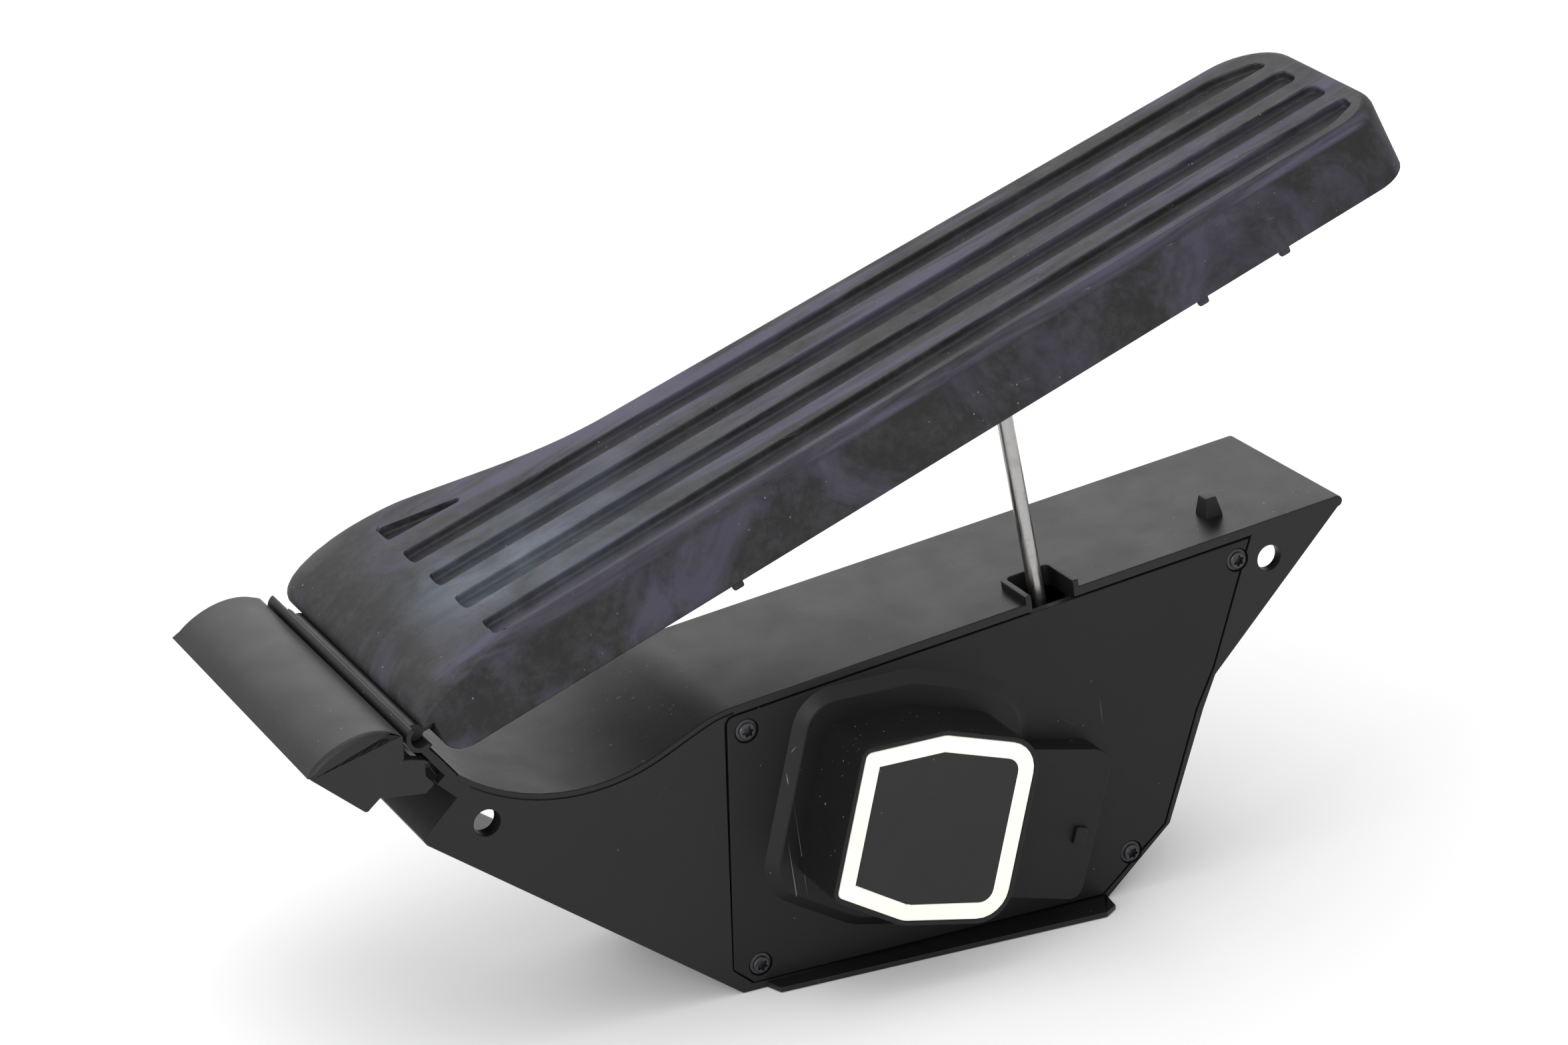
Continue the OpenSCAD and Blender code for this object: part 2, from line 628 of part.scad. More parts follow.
module pad() {
    color("#3b3f44") in_place() on_pedal() {
        difference() {
            pad_shell();
            translate([0, bead_y0 - 0.4, 0]) rotate([-90, 0, 0]) cylinder(r = bead_r + 0.15, h = bead_len + 0.8);
            translate([-1, bead_y0 - 0.4, -web_t / 2 - 0.1])
                cube([web_reach + 2, bead_len + 0.8, web_t + 0.2]);
        }
        for (u = [86, 222, 246])
            translate([u, near_edge(u, -pad_drop) + 0.5, -pad_drop - 2.5]) cube([3.4, 1.7, 2.9]);
    }
}

module pad_shell() {
    difference() {
        pad_body();
        pad_hollow();
        for (i = [0:groove_count - 1]) groove(groove_edge(i - 1.5));
        groove(short_groove);
    }
}

// Moulded plate inside the pad, with the hinge bead along its heel.
stop_block_at = [212.6, 9.5];
stop_block_low = -7.2;
function plate_edge(n, inset) =
    let(h = heel_edge(-3) + inset, t = pad_len - inset)
    [[h, near_edge(h, n) + inset], [t, near_edge(t, n) + inset, toe_r - 3 - inset],
     [t + skew, far_edge(t, pad_top) - inset - 0.4, toe_r - inset],
     for (u = [100:-14:30]) [u, far_edge(u, pad_top) - inset - 0.4],
     [h, far_edge(h + 16, pad_top) - inset - 1, 8]];
module treadle_plate() {
    color("#26282b") in_place() on_pedal() difference() {
        union() {
            translate([0, 0, plate_low]) linear_extrude(plate_t) polygon(soft(plate_edge(plate_top, plate_in)));
            plate_ribs();
            translate([0, bead_y0, 0]) rotate([-90, 0, 0]) cylinder(r = bead_r, h = bead_len);
            translate([0, bead_y0, -web_t / 2]) cube([web_reach, bead_len, web_t]);
            side(bead_y0 + 0.3, bead_y0 + bead_len,
                 [[web_reach - 4, -web_t / 2], [web_reach, -web_t / 2], [web_reach + 5, plate_low + eps],
                  [web_reach + 5, plate_top], [web_reach - 1.6, plate_top], [web_reach - 3.4, web_t / 2]]);
            stop_block();
        }
        for (u = clip_pegs) translate([u, clip_y, plate_low - 1]) cylinder(r = peg_r + 0.1, h = plate_t + 0.4);
        on_clip() translate([-7, -6.4, -7]) cube([14, 13, 7 + plate_low - rod_n - 2 * eps]);
    }
}
module plate_ribs() {
    edge = soft(plate_edge(plate_top, plate_in + 3.4));
    intersection() {
        translate([0, 0, rib_low]) linear_extrude(plate_low - rib_low + eps) polygon(edge);
        union() {
            for (y = [25:13:96]) translate([0, y, rib_low]) cube([pad_len, rib_t * 0.8, 10]);
            for (u = [16:27:pad_len - 20])
                if (abs(u - rod_at) > 14) translate([u, 0, rib_low]) cube([rib_t * 0.8, 110, 10]);
        }
    }
}

module stop_block() {
    translate([stop_block_at.x, stop_block_at.y, stop_block_low]) cube([10, 8, plate_low + eps - stop_block_low]);
}

// Local frame of the clip, with its bore on the rod's pivot.
module on_clip() {
    translate([rod_at, clip_y, rod_n]) children();
}
module rod_clip() {
    color("#d8d8d2") in_place() on_pedal() difference() {
        union() {
            on_clip() rotate([90, 0, 0]) cylinder(r = rod_r + clip_wall, h = 2 * clip_half, center = true);
            on_clip() translate([-rod_r - clip_wall, -clip_half, 0])
                cube([2 * (rod_r + clip_wall), 2 * clip_half, plate_low - rod_n]);
            translate([rod_at - 13, clip_y - clip_half, plate_low - 1.6]) cube([26, 2 * clip_half, 1.6]);
            for (u = clip_pegs) translate([u, clip_y, plate_low - 1]) cylinder(r = peg_r, h = plate_t);
        }
        on_clip() rotate([90, 0, 0]) cylinder(r = rod_r + pin_gap, h = 20, center = true);
    }
}

// Steel rod, bent at the top into the pin that the clip holds.
rod_bend = 4.4;
module push_rod() {
    color("silver") in_place() translate([rod_top.x, rod_y, rod_top.y]) rotate([0, -rod_lean, 0]) {
        translate([0, 0, -rod_len + foot_r * 0.4]) cylinder(r = rod_r, h = rod_len - rod_bend - foot_r * 0.4);
        translate([0, rod_bend, -rod_bend]) rotate([90, 0, -90])
            rotate_extrude(angle = 90) translate([rod_bend, 0]) circle(r = rod_r);
        translate([0, rod_bend, 0]) rotate([-90, 0, 0]) cylinder(r = rod_r, h = clip_y - rod_y + clip_half + 1 - rod_bend);
    }
}

// Nylon foot on the rod's lower end.
module rod_foot() {
    color("#e4e2da") in_place() translate([rod_foot_at.x, rod_y, rod_foot_at.y]) rotate([0, -rod_lean, 0]) difference() {
        union() {
            rotate([90, 0, 0]) cylinder(r = foot_r, h = 5.2, center = true);
            cylinder(r = rod_r + 1.1, h = 9);
        }
        translate([0, 0, foot_r * 0.4 - 0.02]) cylinder(r = rod_r + 0.02, h = 20);
    }
}

// Lever drawn along X from its axis, then turned to its rest angle.
track = -foot_r - run_gap;
module lever_frame() {
    translate([lever_at.x, 0, lever_at.y]) rotate([0, -arm_angle, 0]) children();
}
module lever() {
    arm_end = arm_len + 4;
    color("#2a2c2f") in_place() difference() {
        union() {
            round_y(lever_at, hub_r, near_face, arm_y0 + arm_w + 0.2);
            round_y(lever_at, core_r, arm_y0, hub_end);
            round_y(bar_at, bar_r, arm_y0 + arm_w / 2, far_y0 + wire_r + 2);
            lever_frame() {
                side(arm_y0, arm_y0 + arm_w, [[0, -hub_r], [arm_end - 3, track - 5.2], [arm_end, track - 1.5],
                                              [arm_end, track], [arm_len - 12, track], [hub_r, hub_r * 0.7], [0, hub_r]]);
                side(rod_y - 3.6, rod_y + 3.6, [[arm_len - 14, track - 4], [arm_end - 2, track - 4],
                                                [arm_end, track - 2], [arm_end, track], [arm_len - 12, track]]);
            }
        }
        round_y(lever_at, magnet_r + 1.4, near_face - 1, near_face + 4.5);
        round_y(lever_at, shaft_r + pin_gap, shaft_y0 - 0.5, hub_end + 1);
    }
}

module lever_shaft() {
    color("silver") in_place() round_y(lever_at, shaft_r, shaft_y0, shaft_end);
}

module near_bushing() {
    color("#cfcabb") in_place() difference() {
        round_y(lever_at, hub_r + 1.55, cover_t + 0.05, bearing_end - 0.2);
        round_y(lever_at, hub_r + pin_gap, cover_t - 1, bearing_end + 1);
    }
}

module far_bushing() {
    color("#cfcabb") in_place() difference() {
        round_y(lever_at, hub_r - 1.5, hub_end + 0.15, hub_end + 0.85);
        round_y(lever_at, shaft_r + 0.1, hub_end - 1, hub_end + 2);
    }
}

module magnet_holder() {
    color("#55585c") in_place() difference() {
        round_y(lever_at, magnet_r + 1.35, near_face + 0.1, near_face + 4.48);
        round_y(lever_at, magnet_r + 0.02, near_face - 1, near_face + 3.2);
    }
}

module magnet() {
    color("#6d6f73") in_place() round_y(lever_at, magnet_r, near_face + 0.2, near_face + 3.18);
}

// Torsion spring round the hub: one leg lifts the lever's bar, the other leans on the floor stop.
leg_angle = arm_angle - 42;
bar_r = 2.2;
bar_reach = 12;
bar_at = lever_at + bar_reach * [cos(leg_angle), sin(leg_angle)]
         + (spring_r + wire_r + seat_gap + bar_r) * [-sin(leg_angle), cos(leg_angle)];
floor_leg = lever_h - wall - 3;
module coil_spring(y0, y1) {
    a0 = leg_angle + 90;
    sweep = 360 * spring_turns + 180 - a0;
    steps = 20 * spring_turns;
    sides = 8;
    function radial(a) = [cos(a), 0, sin(a)];
    function ring(p, out) = [for (k = [0:sides - 1])
        let(b = 360 * k / sides) p + wire_r * (cos(b) * out + sin(b) * [0, 1, 0])];
    coil = [for (i = [0:steps]) let(a = a0 + sweep * i / steps)
        ring(spring_r * radial(a) + [0, mix(y0, y1, i / steps), 0], radial(a))];
    lift = ring(spring_r * radial(a0) + (bar_reach + 4) * radial(leg_angle) + [0, y0, 0], radial(a0));
    lean = ring([-spring_r, y1, -floor_leg], radial(180));
    color("#8d9195") in_place() translate([lever_at.x, 0, lever_at.y]) skin_of(concat([lift], coil, [lean]));
}

spring_y0 = arm_y0 + arm_w + wire_r + 0.9;
spring_gap = 2.6;
spring_y1 = hub_end - wire_r - 0.6;
spring_mid = (spring_y0 + spring_y1) / 2;
far_y0 = spring_mid + spring_gap / 2 + wire_r;
module near_spring() {
    coil_spring(spring_y0, spring_mid - spring_gap / 2 - wire_r);
}

module far_spring() {
    coil_spring(far_y0, spring_y1);
}

// Stop on the floor of the box for the springs' lower legs.
module spring_stop() {
    x1 = lever_x - spring_r - wire_r - seat_gap;
    translate([x1 - rib_t, spring_y0, wall / 2]) cube([rib_t, box_w - wall / 2 - spring_y0, wall / 2 + 11]);
}

housing();
side_cover();
cover_screw(0);  // cover_screw_1
cover_screw(1);  // cover_screw_2
cover_screw(2);  // cover_screw_3
cover_screw(3);  // cover_screw_4
sensor_lid();
seal_ring();
sensor_board();
hall_sensor();
connector_pins();
heel_cap();
treadle_plate();
pad();
rod_clip();
push_rod();
rod_foot();
lever();
lever_shaft();
near_bushing();
far_bushing();
magnet_holder();
magnet();
near_spring();
far_spring();
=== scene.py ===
"""Floor-mounted accelerator pedal with a sealed sensor box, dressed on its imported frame.

Sizes in the classes are millimetres, as on a workshop drawing. Meshes are made in metres.
"""
import logging
import math
from dataclasses import dataclass
from enum import Enum
from typing import Callable, Iterable, Optional, Sequence, Union

import bmesh
import bpy
from bmesh.types import BMEdge, BMesh, BMVert
from bpy.types import ID, Material, Mesh, Node, NodeSocket, Object
from mathutils import Matrix, Vector


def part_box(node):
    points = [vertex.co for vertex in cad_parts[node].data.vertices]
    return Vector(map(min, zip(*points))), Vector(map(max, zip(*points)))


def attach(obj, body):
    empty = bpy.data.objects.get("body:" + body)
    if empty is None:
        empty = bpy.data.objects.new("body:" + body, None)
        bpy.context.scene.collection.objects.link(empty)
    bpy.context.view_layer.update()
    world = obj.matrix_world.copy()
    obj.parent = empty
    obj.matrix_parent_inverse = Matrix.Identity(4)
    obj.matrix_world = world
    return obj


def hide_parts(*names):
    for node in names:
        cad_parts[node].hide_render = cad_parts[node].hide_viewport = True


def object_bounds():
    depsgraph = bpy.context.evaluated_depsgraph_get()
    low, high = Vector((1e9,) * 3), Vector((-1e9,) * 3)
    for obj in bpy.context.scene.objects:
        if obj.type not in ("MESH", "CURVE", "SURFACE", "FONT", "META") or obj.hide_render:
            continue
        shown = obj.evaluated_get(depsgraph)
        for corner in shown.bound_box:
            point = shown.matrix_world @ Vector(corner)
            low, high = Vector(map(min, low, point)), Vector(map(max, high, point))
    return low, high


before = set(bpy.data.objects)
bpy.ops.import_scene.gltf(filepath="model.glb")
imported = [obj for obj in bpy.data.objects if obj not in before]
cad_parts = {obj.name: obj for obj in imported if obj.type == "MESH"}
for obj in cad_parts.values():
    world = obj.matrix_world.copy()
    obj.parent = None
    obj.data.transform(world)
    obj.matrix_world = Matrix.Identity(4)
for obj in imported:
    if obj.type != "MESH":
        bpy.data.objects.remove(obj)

log = logging.getLogger("pedal")
MM = 0.001
WELD = 2e-6
CAD_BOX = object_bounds()
Signal = Union[float, Sequence[float], NodeSocket]


class Body(Enum):
    """The moving bodies that a piece can ride on."""

    BASE = "base"
    TREADLE = "treadle"
    ROD = "rod"
    LEVER = "lever_arm"


class Fit(Enum):
    """How a cutter or an addition meets the piece it works on."""

    CUT = "DIFFERENCE"
    JOIN = "UNION"


def on_drawing(x: float, y: float, z: float) -> Vector:
    """The frame's point at these mm from the heel end, from the near side and above the base."""
    holes_middle = Vector((121.1946, 0.0, 71.6702))
    return (Vector((x, y, z)) - holes_middle) * MM


def side_view(depth: float) -> Matrix:
    """Matrix to the frame from side-view mm drawn at a depth, with heights towards the near side."""
    upright = Matrix.Translation(on_drawing(0, depth, 0)) @ Matrix.Rotation(math.radians(90), 4, "X")
    return upright @ Matrix.Scale(MM, 4)


def mix(a: float, b: float, t: float) -> float:
    """Value between a and b at share t."""
    return a + (b - a) * t


def share(value: float, low: float, high: float) -> float:
    """Share of the way from low to high, kept between 0 and 1."""
    return min(1.0, max(0.0, (value - low) / (high - low)))


HINGE = on_drawing(0.4, 0.0, 85.6)
PEDAL_ANGLE = math.radians(20)
TO_PEDAL = Matrix.Translation(HINGE) @ Matrix.Rotation(-PEDAL_ANGLE, 4, "Y") @ Matrix.Scale(MM, 4)


# Node graphs and finishes.


class Recipe:
    """The node graph of one material, laid out on the piece's own object coordinates."""

    def __init__(self, name: str, colour: Sequence[float]) -> None:
        """Starts a graph that ends in one principled shader.

        Args:
            name: Name of the material.
            colour: The colour that paint() then covers in part.
        """
        self.colour = (*colour, 1.0)
        self.material = bpy.data.materials.new(name)
        self.material.use_nodes = True
        self.tree = self.material.node_tree
        self.tree.nodes.clear()
        self.shader = self.node("BsdfPrincipled")
        end = self.node("OutputMaterial")
        self.tree.links.new(self.shader.outputs["BSDF"], end.inputs["Surface"])
        self.place = self.node("TexCoord").outputs["Object"]
        self.normal = None

    def node(self, kind: str, inputs: Optional[dict] = None, **settings: object) -> Node:
        """Adds a node, sets its options and feeds its inputs.

        Args:
            kind: Blender's name of the node, from after ShaderNode.
            inputs: What goes into its sockets, by name or number.
            settings: Options of the node, by attribute name.

        Returns:
            The new node.
        """
        made = self.tree.nodes.new(f"ShaderNode{kind}")
        for key, value in settings.items():
            setattr(made, key, value)
        for key, value in (inputs or {}).items():
            self.feed(made.inputs[key], value)
        return made

    def feed(self, socket: NodeSocket, value: Signal) -> None:
        """Links a socket to another one, or sets its constant.

        Args:
            socket: Input socket.
            value: Output socket, number, colour or vector.
        """
        if isinstance(value, NodeSocket):
            self.tree.links.new(value, socket)
        else:
            socket.default_value = value

    def stretched(self, scale: Sequence[float], place: Optional[NodeSocket] = None,
                  turn: float = 0.0) -> NodeSocket:
        """Scales the coordinates along each axis, so that a pattern runs in one direction.

        Args:
            scale: Factor along X, Y and Z.
            place: Coordinates to start from, the piece's own by default.
            turn: Turn about Y before scaling, in degrees.

        Returns:
            The vector socket of the new coordinates.
        """
        turned = self.moved(place or self.place, (0, 0, 0), math.radians(turn))
        scaled = self.node("VectorMath", {0: turned, 1: tuple(scale)}, operation="MULTIPLY")
        return scaled.outputs["Vector"]

    def moved(self, place: NodeSocket, origin: Sequence[float], turn: float) -> NodeSocket:
        """Measures coordinates from another origin, in axes turned about Y by so many radians."""
        inputs = {"Vector": place, "Location": tuple(origin), "Rotation": (0, turn, 0)}
        return self.node("Mapping", inputs, vector_type="TEXTURE").outputs["Vector"]

    def noise(self, scale: float, detail: float = 3.0, rough: float = 0.5,
              place: Optional[NodeSocket] = None, warp: float = 0.0) -> NodeSocket:
        """Noise from 0 to 1, its scale in cells to the metre, on the piece's own coordinates by default."""
        return self.node("TexNoise", {
            "Vector": place or self.place, "Scale": scale, "Detail": detail, "Roughness": rough,
            "Distortion": warp}).outputs["Fac"]

    def specks(self, scale: float, size: float, chance: float) -> NodeSocket:
        """Adds scattered small specks, such as dust.

        Args:
            scale: Cells to the metre.
            size: Radius of a speck as a share of its cell.
            chance: Share of the cells that hold one.

        Returns:
            The mask socket, 1 on a speck.
        """
        cells = self.node("TexVoronoi", {"Vector": self.place, "Scale": scale})
        spot = self.between(cells.outputs["Distance"], size, size * 0.4)
        pick = self.node("SeparateColor", {0: cells.outputs["Color"]})
        return self.times(spot, self.between(pick.outputs[0], 1 - chance, 1 - chance + 0.02))

    def between(self, value: Signal, low: float, high: float, to_low: float = 0.0,
                to_high: float = 1.0) -> NodeSocket:
        """Maps the range from low to high to the one from to_low to to_high, and clamps it."""
        return self.node("MapRange", {
            "Value": value, "From Min": low, "From Max": high, "To Min": to_low,
            "To Max": to_high}, clamp=True).outputs["Result"]

    def chain(self, operation: str, values: Sequence[Signal]) -> NodeSocket:
        """Joins values from left to right, each step kept between 0 and 1.

        Args:
            operation: Name of the Math operation.
            values: Two or more numbers or sockets.

        Returns:
            The result socket.
        """
        total = values[0]
        for value in values[1:]:
            step = self.node("Math", {0: total, 1: value}, operation=operation, use_clamp=True)
            total = step.outputs[0]
        return total

    def times(self, *values: Signal) -> NodeSocket:
        """Product of the values."""
        return self.chain("MULTIPLY", values)

    def most(self, *values: Signal) -> NodeSocket:
        """Largest of the values."""
        return self.chain("MAXIMUM", values)

    def plus(self, *values: Signal) -> NodeSocket:
        """Sum of the values."""
        return self.chain("ADD", values)

    def paint(self, mask: Signal, tone: Sequence[float], weight: float = 1.0) -> None:
        """Covers the colour so far with a tone.

        Args:
            mask: Where the tone shows, from 0 to 1.
            tone: The colour on top.
            weight: How much of it shows there.
        """
        amount = mask if weight == 1.0 else self.times(mask, weight)
        inputs = {0: amount, 6: self.colour, 7: (*tone, 1.0)}
        self.colour = self.node("Mix", inputs, data_type="RGBA").outputs[2]

    def emboss(self, height: Signal, depth: float, strength: float = 1.0) -> None:
        """Adds a relief on top of the ones before.

        Args:
            height: Value socket.
            depth: Height of the relief in metres.
            strength: Weight of the relief.
        """
        inputs = {"Strength": strength, "Distance": depth, "Height": height}
        if self.normal:
            inputs["Normal"] = self.normal
        self.normal = self.node("Bump", inputs).outputs["Normal"]

    def close(self, roughness: Signal, **constants: float) -> Material:
        """Joins colour, roughness and relief to the shader.

        Args:
            roughness: Value or socket.
            constants: Other shader inputs, with spaces as underscores.

        Returns:
            The finished material.
        """
        self.feed(self.shader.inputs["Base Color"], self.colour)
        self.feed(self.shader.inputs["Roughness"], roughness)
        for key, value in constants.items():
            self.shader.inputs[key.replace("_", " ")].default_value = value
        if self.normal:
            self.feed(self.shader.inputs["Normal"], self.normal)
        return self.material


@dataclass(frozen=True)
class Moulded:
    """Moulded plastic with a sparked grain, flow marks, fine scuffs and dust."""

    name: str
    colour: tuple = (0.0060, 0.0060, 0.0063)
    roughness: float = 0.42
    spread: float = 0.035
    grain_scale: float = 1700.0
    grain_depth: float = 0.00004
    dust: float = 0.5
    scuffs: float = 0.5
    specular: float = 0.30
    flow: float = 1.2
    scuff_runs: tuple = ((32.0, 9.0), (-50.0, 14.0), (84.0, 11.0))
    scuff_tone: tuple = (0.16, 0.16, 0.165)
    dust_tone: tuple = (0.33, 0.33, 0.32)

    def material(self) -> Material:
        """Builds the material.

        Returns:
            The material, with its colour, gloss and grain varied over the piece.
        """
        graph = Recipe(self.name, self.colour)
        clouds = graph.between(graph.noise(28.0, 4.0, 0.55), 0.3, 0.75)
        graph.paint(clouds, tuple(c * self.flow for c in self.colour))
        hairs = [graph.noise(60.0, 2.0, 0.5, graph.stretched((along / 60, 8.0, 18.0), turn=turn))
                 for turn, along in self.scuff_runs]
        rubbed = graph.between(graph.noise(17.0, 2.0), 0.52, 0.62)
        lines = graph.most(*(graph.between(hair, 0.735, 0.76) for hair in hairs))
        scuff = graph.times(lines, rubbed, self.scuffs)
        graph.paint(scuff, self.scuff_tone)
        dust = graph.most(graph.specks(170.0, 0.035, 0.30), graph.specks(420.0, 0.07, 0.10))
        graph.paint(dust, self.dust_tone, self.dust)
        patch = graph.noise(75.0, 5.0, 0.6)
        gloss = graph.between(patch, 0.3, 0.7, self.roughness - self.spread, self.roughness + self.spread)
        gloss = graph.plus(gloss, graph.times(dust, 0.3))
        graph.emboss(graph.noise(self.grain_scale, 2.0, 0.6), self.grain_depth, 0.5)
        graph.emboss(graph.noise(38.0, 2.0), 0.0002, 0.05)
        graph.emboss(scuff, -0.00005, 0.4)
        return graph.close(gloss, Specular_IOR_Level=self.specular)


@dataclass(frozen=True)
class PadRubber:
    """Charcoal rubber with a blue-grey film at the heel and on the skirt, painted blue-grey sheen on the
    ribs, a painted highlight along the near band, fine specks and hair scratches.
    """

    name: str
    colour: tuple = (0.0104, 0.0104, 0.0112)
    # Blue-grey tone: a real film on the rubber, and also painted sheen and painted highlight.
    bloom_and_sheen: tuple = (0.068, 0.064, 0.104)
    chalk: tuple = (0.120, 0.150, 0.185)
    mottle: tuple = (0.056, 0.055, 0.062)
    dust: tuple = (0.36, 0.35, 0.33)
    scratch: tuple = (0.2, 0.2, 0.2)
    roughness: float = 0.56

    def bloomed_and_sheened(self, graph: Recipe, pedal: NodeSocket, streak: NodeSocket,
                patch: NodeSocket) -> NodeSocket:
        """Finds where the blue-grey tone lies: a real film at the heel and on the skirt, painted sheen on the
        ribs and a painted highlight along the slanted band.

        Args:
            graph: The material's graph.
            pedal: Coordinates along the pedal, across it and up from the hinge.
            streak: Noise drawn out along the pedal.
            patch: Cloudy noise.

        Returns:
            The mask socket.
        """
        u, v, n = graph.node("SeparateXYZ", {0: pedal}).outputs
        raised = graph.between(n, 0.0078, 0.0100)
        # Painted sheen along the rib tops, drawn out along the pedal.
        ribs = graph.times(raised, graph.between(streak, 0.47, 0.62),
                           graph.between(u, 0.016, 0.055, 0.2, 1.0))
        blotch = graph.between(graph.noise(48.0, 6.0, 0.68, pedal, 0.7), 0.50, 0.62, 0.0, 0.6)
        heel = graph.times(raised, graph.times(blotch, graph.between(u, 0.075, 0.030)))
        skirt = graph.times(graph.between(n, 0.0085, 0.0065), graph.between(patch, 0.50, 0.66, 0.0, 0.66))
        # Painted highlight along the slanted band above the near crease.
        band = graph.times(graph.between(n, 0.0068, 0.0078), graph.between(v, 0.016, 0.008),
                           graph.between(streak, 0.38, 0.62))
        return graph.most(ribs, heel, skirt, band)

    def chalked(self, graph: Recipe, pedal: NodeSocket, patch: NodeSocket) -> NodeSocket:
        """Finds the pale patch where the grooves start.

        Args:
            graph: The material's graph.
            pedal: Coordinates along the pedal, across it and up from the hinge.
            patch: Cloudy noise.

        Returns:
            The mask socket.
        """
        u, v, n = graph.node("SeparateXYZ", {0: pedal}).outputs
        along = graph.times(graph.between(u, 0.012, 0.034), graph.between(u, 0.110, 0.036))
        across = graph.times(graph.between(v, 0.006, 0.026), graph.between(v, 0.068, 0.040))
        return graph.times(graph.times(along, across), graph.between(patch, 0.34, 0.60),
                           graph.between(n, 0.0074, 0.0086, 0.15, 1.0))

    def material(self) -> Material:
        """Builds the material.

        Returns:
            The material. Its blue-grey film, painted sheen and painted highlight run along the pedal's own
            length.
        """
        graph = Recipe(self.name, self.colour)
        pedal = graph.moved(graph.place, HINGE, -PEDAL_ANGLE)
        streak = graph.noise(1.0, 5.0, 0.62, graph.stretched((14.0, 120.0, 160.0), pedal), 0.8)
        patch = graph.noise(24.0, 5.0, 0.62, pedal, 1.4)
        # Blue-grey tone: real film at the heel and on the skirt, painted sheen on the ribs and a painted
        # highlight on the near band.
        bloom_and_sheen = self.bloomed_and_sheened(graph, pedal, streak, patch)
        graph.paint(bloom_and_sheen, self.bloom_and_sheen, 0.78)
        graph.paint(self.chalked(graph, pedal, patch), self.chalk, 0.75)
        fine = graph.times(graph.noise(520.0, 4.0, 0.75), graph.noise(90.0, 3.0, 0.6))
        graph.paint(graph.between(fine, 0.20, 0.38, 0.0, 0.28), self.mottle)
        dust = graph.times(graph.most(graph.specks(180.0, 0.045, 0.45), graph.specks(430.0, 0.085, 0.28)),
                           graph.between(graph.noise(20.0, 2.0), 0.38, 0.56))
        graph.paint(dust, self.dust, 0.8)
        hair = graph.noise(1.0, 2.0, 0.5, graph.stretched((30.0, 260.0, 520.0), pedal, 12.0), 2.0)
        hair = graph.times(graph.between(hair, 0.72, 0.75), graph.between(patch, 0.52, 0.6))
        graph.paint(hair, self.scratch, 0.35)
        worn = graph.noise(60.0, 4.0, 0.6)
        gloss = graph.between(worn, 0.3, 0.7, self.roughness - 0.07, self.roughness + 0.09)
        gloss = graph.plus(gloss, graph.times(bloom_and_sheen, 0.10))
        graph.emboss(graph.noise(2100.0, 2.0, 0.6), 0.00004, 0.5)
        graph.emboss(graph.noise(45.0, 3.0), 0.0004, 0.16)
        return graph.close(gloss, Specular_IOR_Level=0.30)


@dataclass(frozen=True)
class Metal:
    """Drawn or turned metal with fine lines along it and dull handling marks."""

    name: str
    colour: tuple
    roughness: float = 0.28
    metallic: float = 1.0
    lines: tuple = (900.0, 900.0, 40.0)
    dull: float = 0.5

    def material(self) -> Material:
        """Builds the material.

        Returns:
            The material, with drawing lines in its relief and darker, duller spots.
        """
        graph = Recipe(self.name, self.colour)
        drawn = graph.noise(1.0, 3.0, 0.6, graph.stretched(self.lines))
        spots = graph.between(graph.noise(160.0, 5.0, 0.65), 0.5, 0.75)
        graph.paint(spots, tuple(c * self.dull for c in self.colour), 0.6)
        gloss = graph.between(drawn, 0.3, 0.7, self.roughness - 0.08, self.roughness + 0.10)
        gloss = graph.plus(gloss, graph.times(spots, 0.15))
        graph.emboss(drawn, 0.00002, 0.4)
        return graph.close(gloss, Metallic=self.metallic)


@dataclass(frozen=True)
class SealRubber:
    """Pale foamed seal: cream, matt, with fine pores and faint yellowing."""

    name: str
    colour: tuple = (0.88, 0.87, 0.80)
    aged: tuple = (0.80, 0.77, 0.66)
    pore: tuple = (0.45, 0.42, 0.34)

    def material(self) -> Material:
        """Builds the material.

        Returns:
            The material, with pores in its relief and a slow change of tone.
        """
        graph = Recipe(self.name, self.colour)
        graph.paint(graph.between(graph.noise(45.0, 4.0, 0.6), 0.42, 0.72), self.aged, 0.5)
        pores = graph.specks(1300.0, 0.22, 0.35)
        graph.paint(pores, self.pore, 0.3)
        gloss = graph.between(graph.noise(300.0, 3.0), 0.3, 0.7, 0.50, 0.66)
        graph.emboss(graph.noise(900.0, 3.0, 0.6), 0.00005, 0.4)
        graph.emboss(pores, -0.00006, 0.5)
        return graph.close(gloss)


@dataclass(frozen=True)
class CircuitBoard:
    """Green lacquered board with copper tracks under the lacquer and tinned dots."""

    name: str
    colour: tuple = (0.010, 0.090, 0.030)
    track: tuple = (0.020, 0.200, 0.070)
    tin: tuple = (0.55, 0.55, 0.52)

    def material(self) -> Material:
        """Builds the material.

        Returns:
            The material, with tracks drawn by a stepped cell pattern.
        """
        graph = Recipe(self.name, self.colour)
        cells = graph.node("TexVoronoi", {"Vector": graph.place, "Scale": 190.0},
                           distance="CHEBYCHEV", feature="DISTANCE_TO_EDGE")
        track = graph.between(cells.outputs["Distance"], 0.10, 0.07)
        dots = graph.specks(240.0, 0.16, 0.3)
        graph.paint(track, self.track)
        graph.paint(dots, self.tin)
        gloss = graph.between(graph.noise(90.0), 0.3, 0.7, 0.22, 0.36)
        graph.emboss(track, 0.00003, 0.6)
        graph.emboss(dots, 0.00005, 0.6)
        return graph.close(gloss)


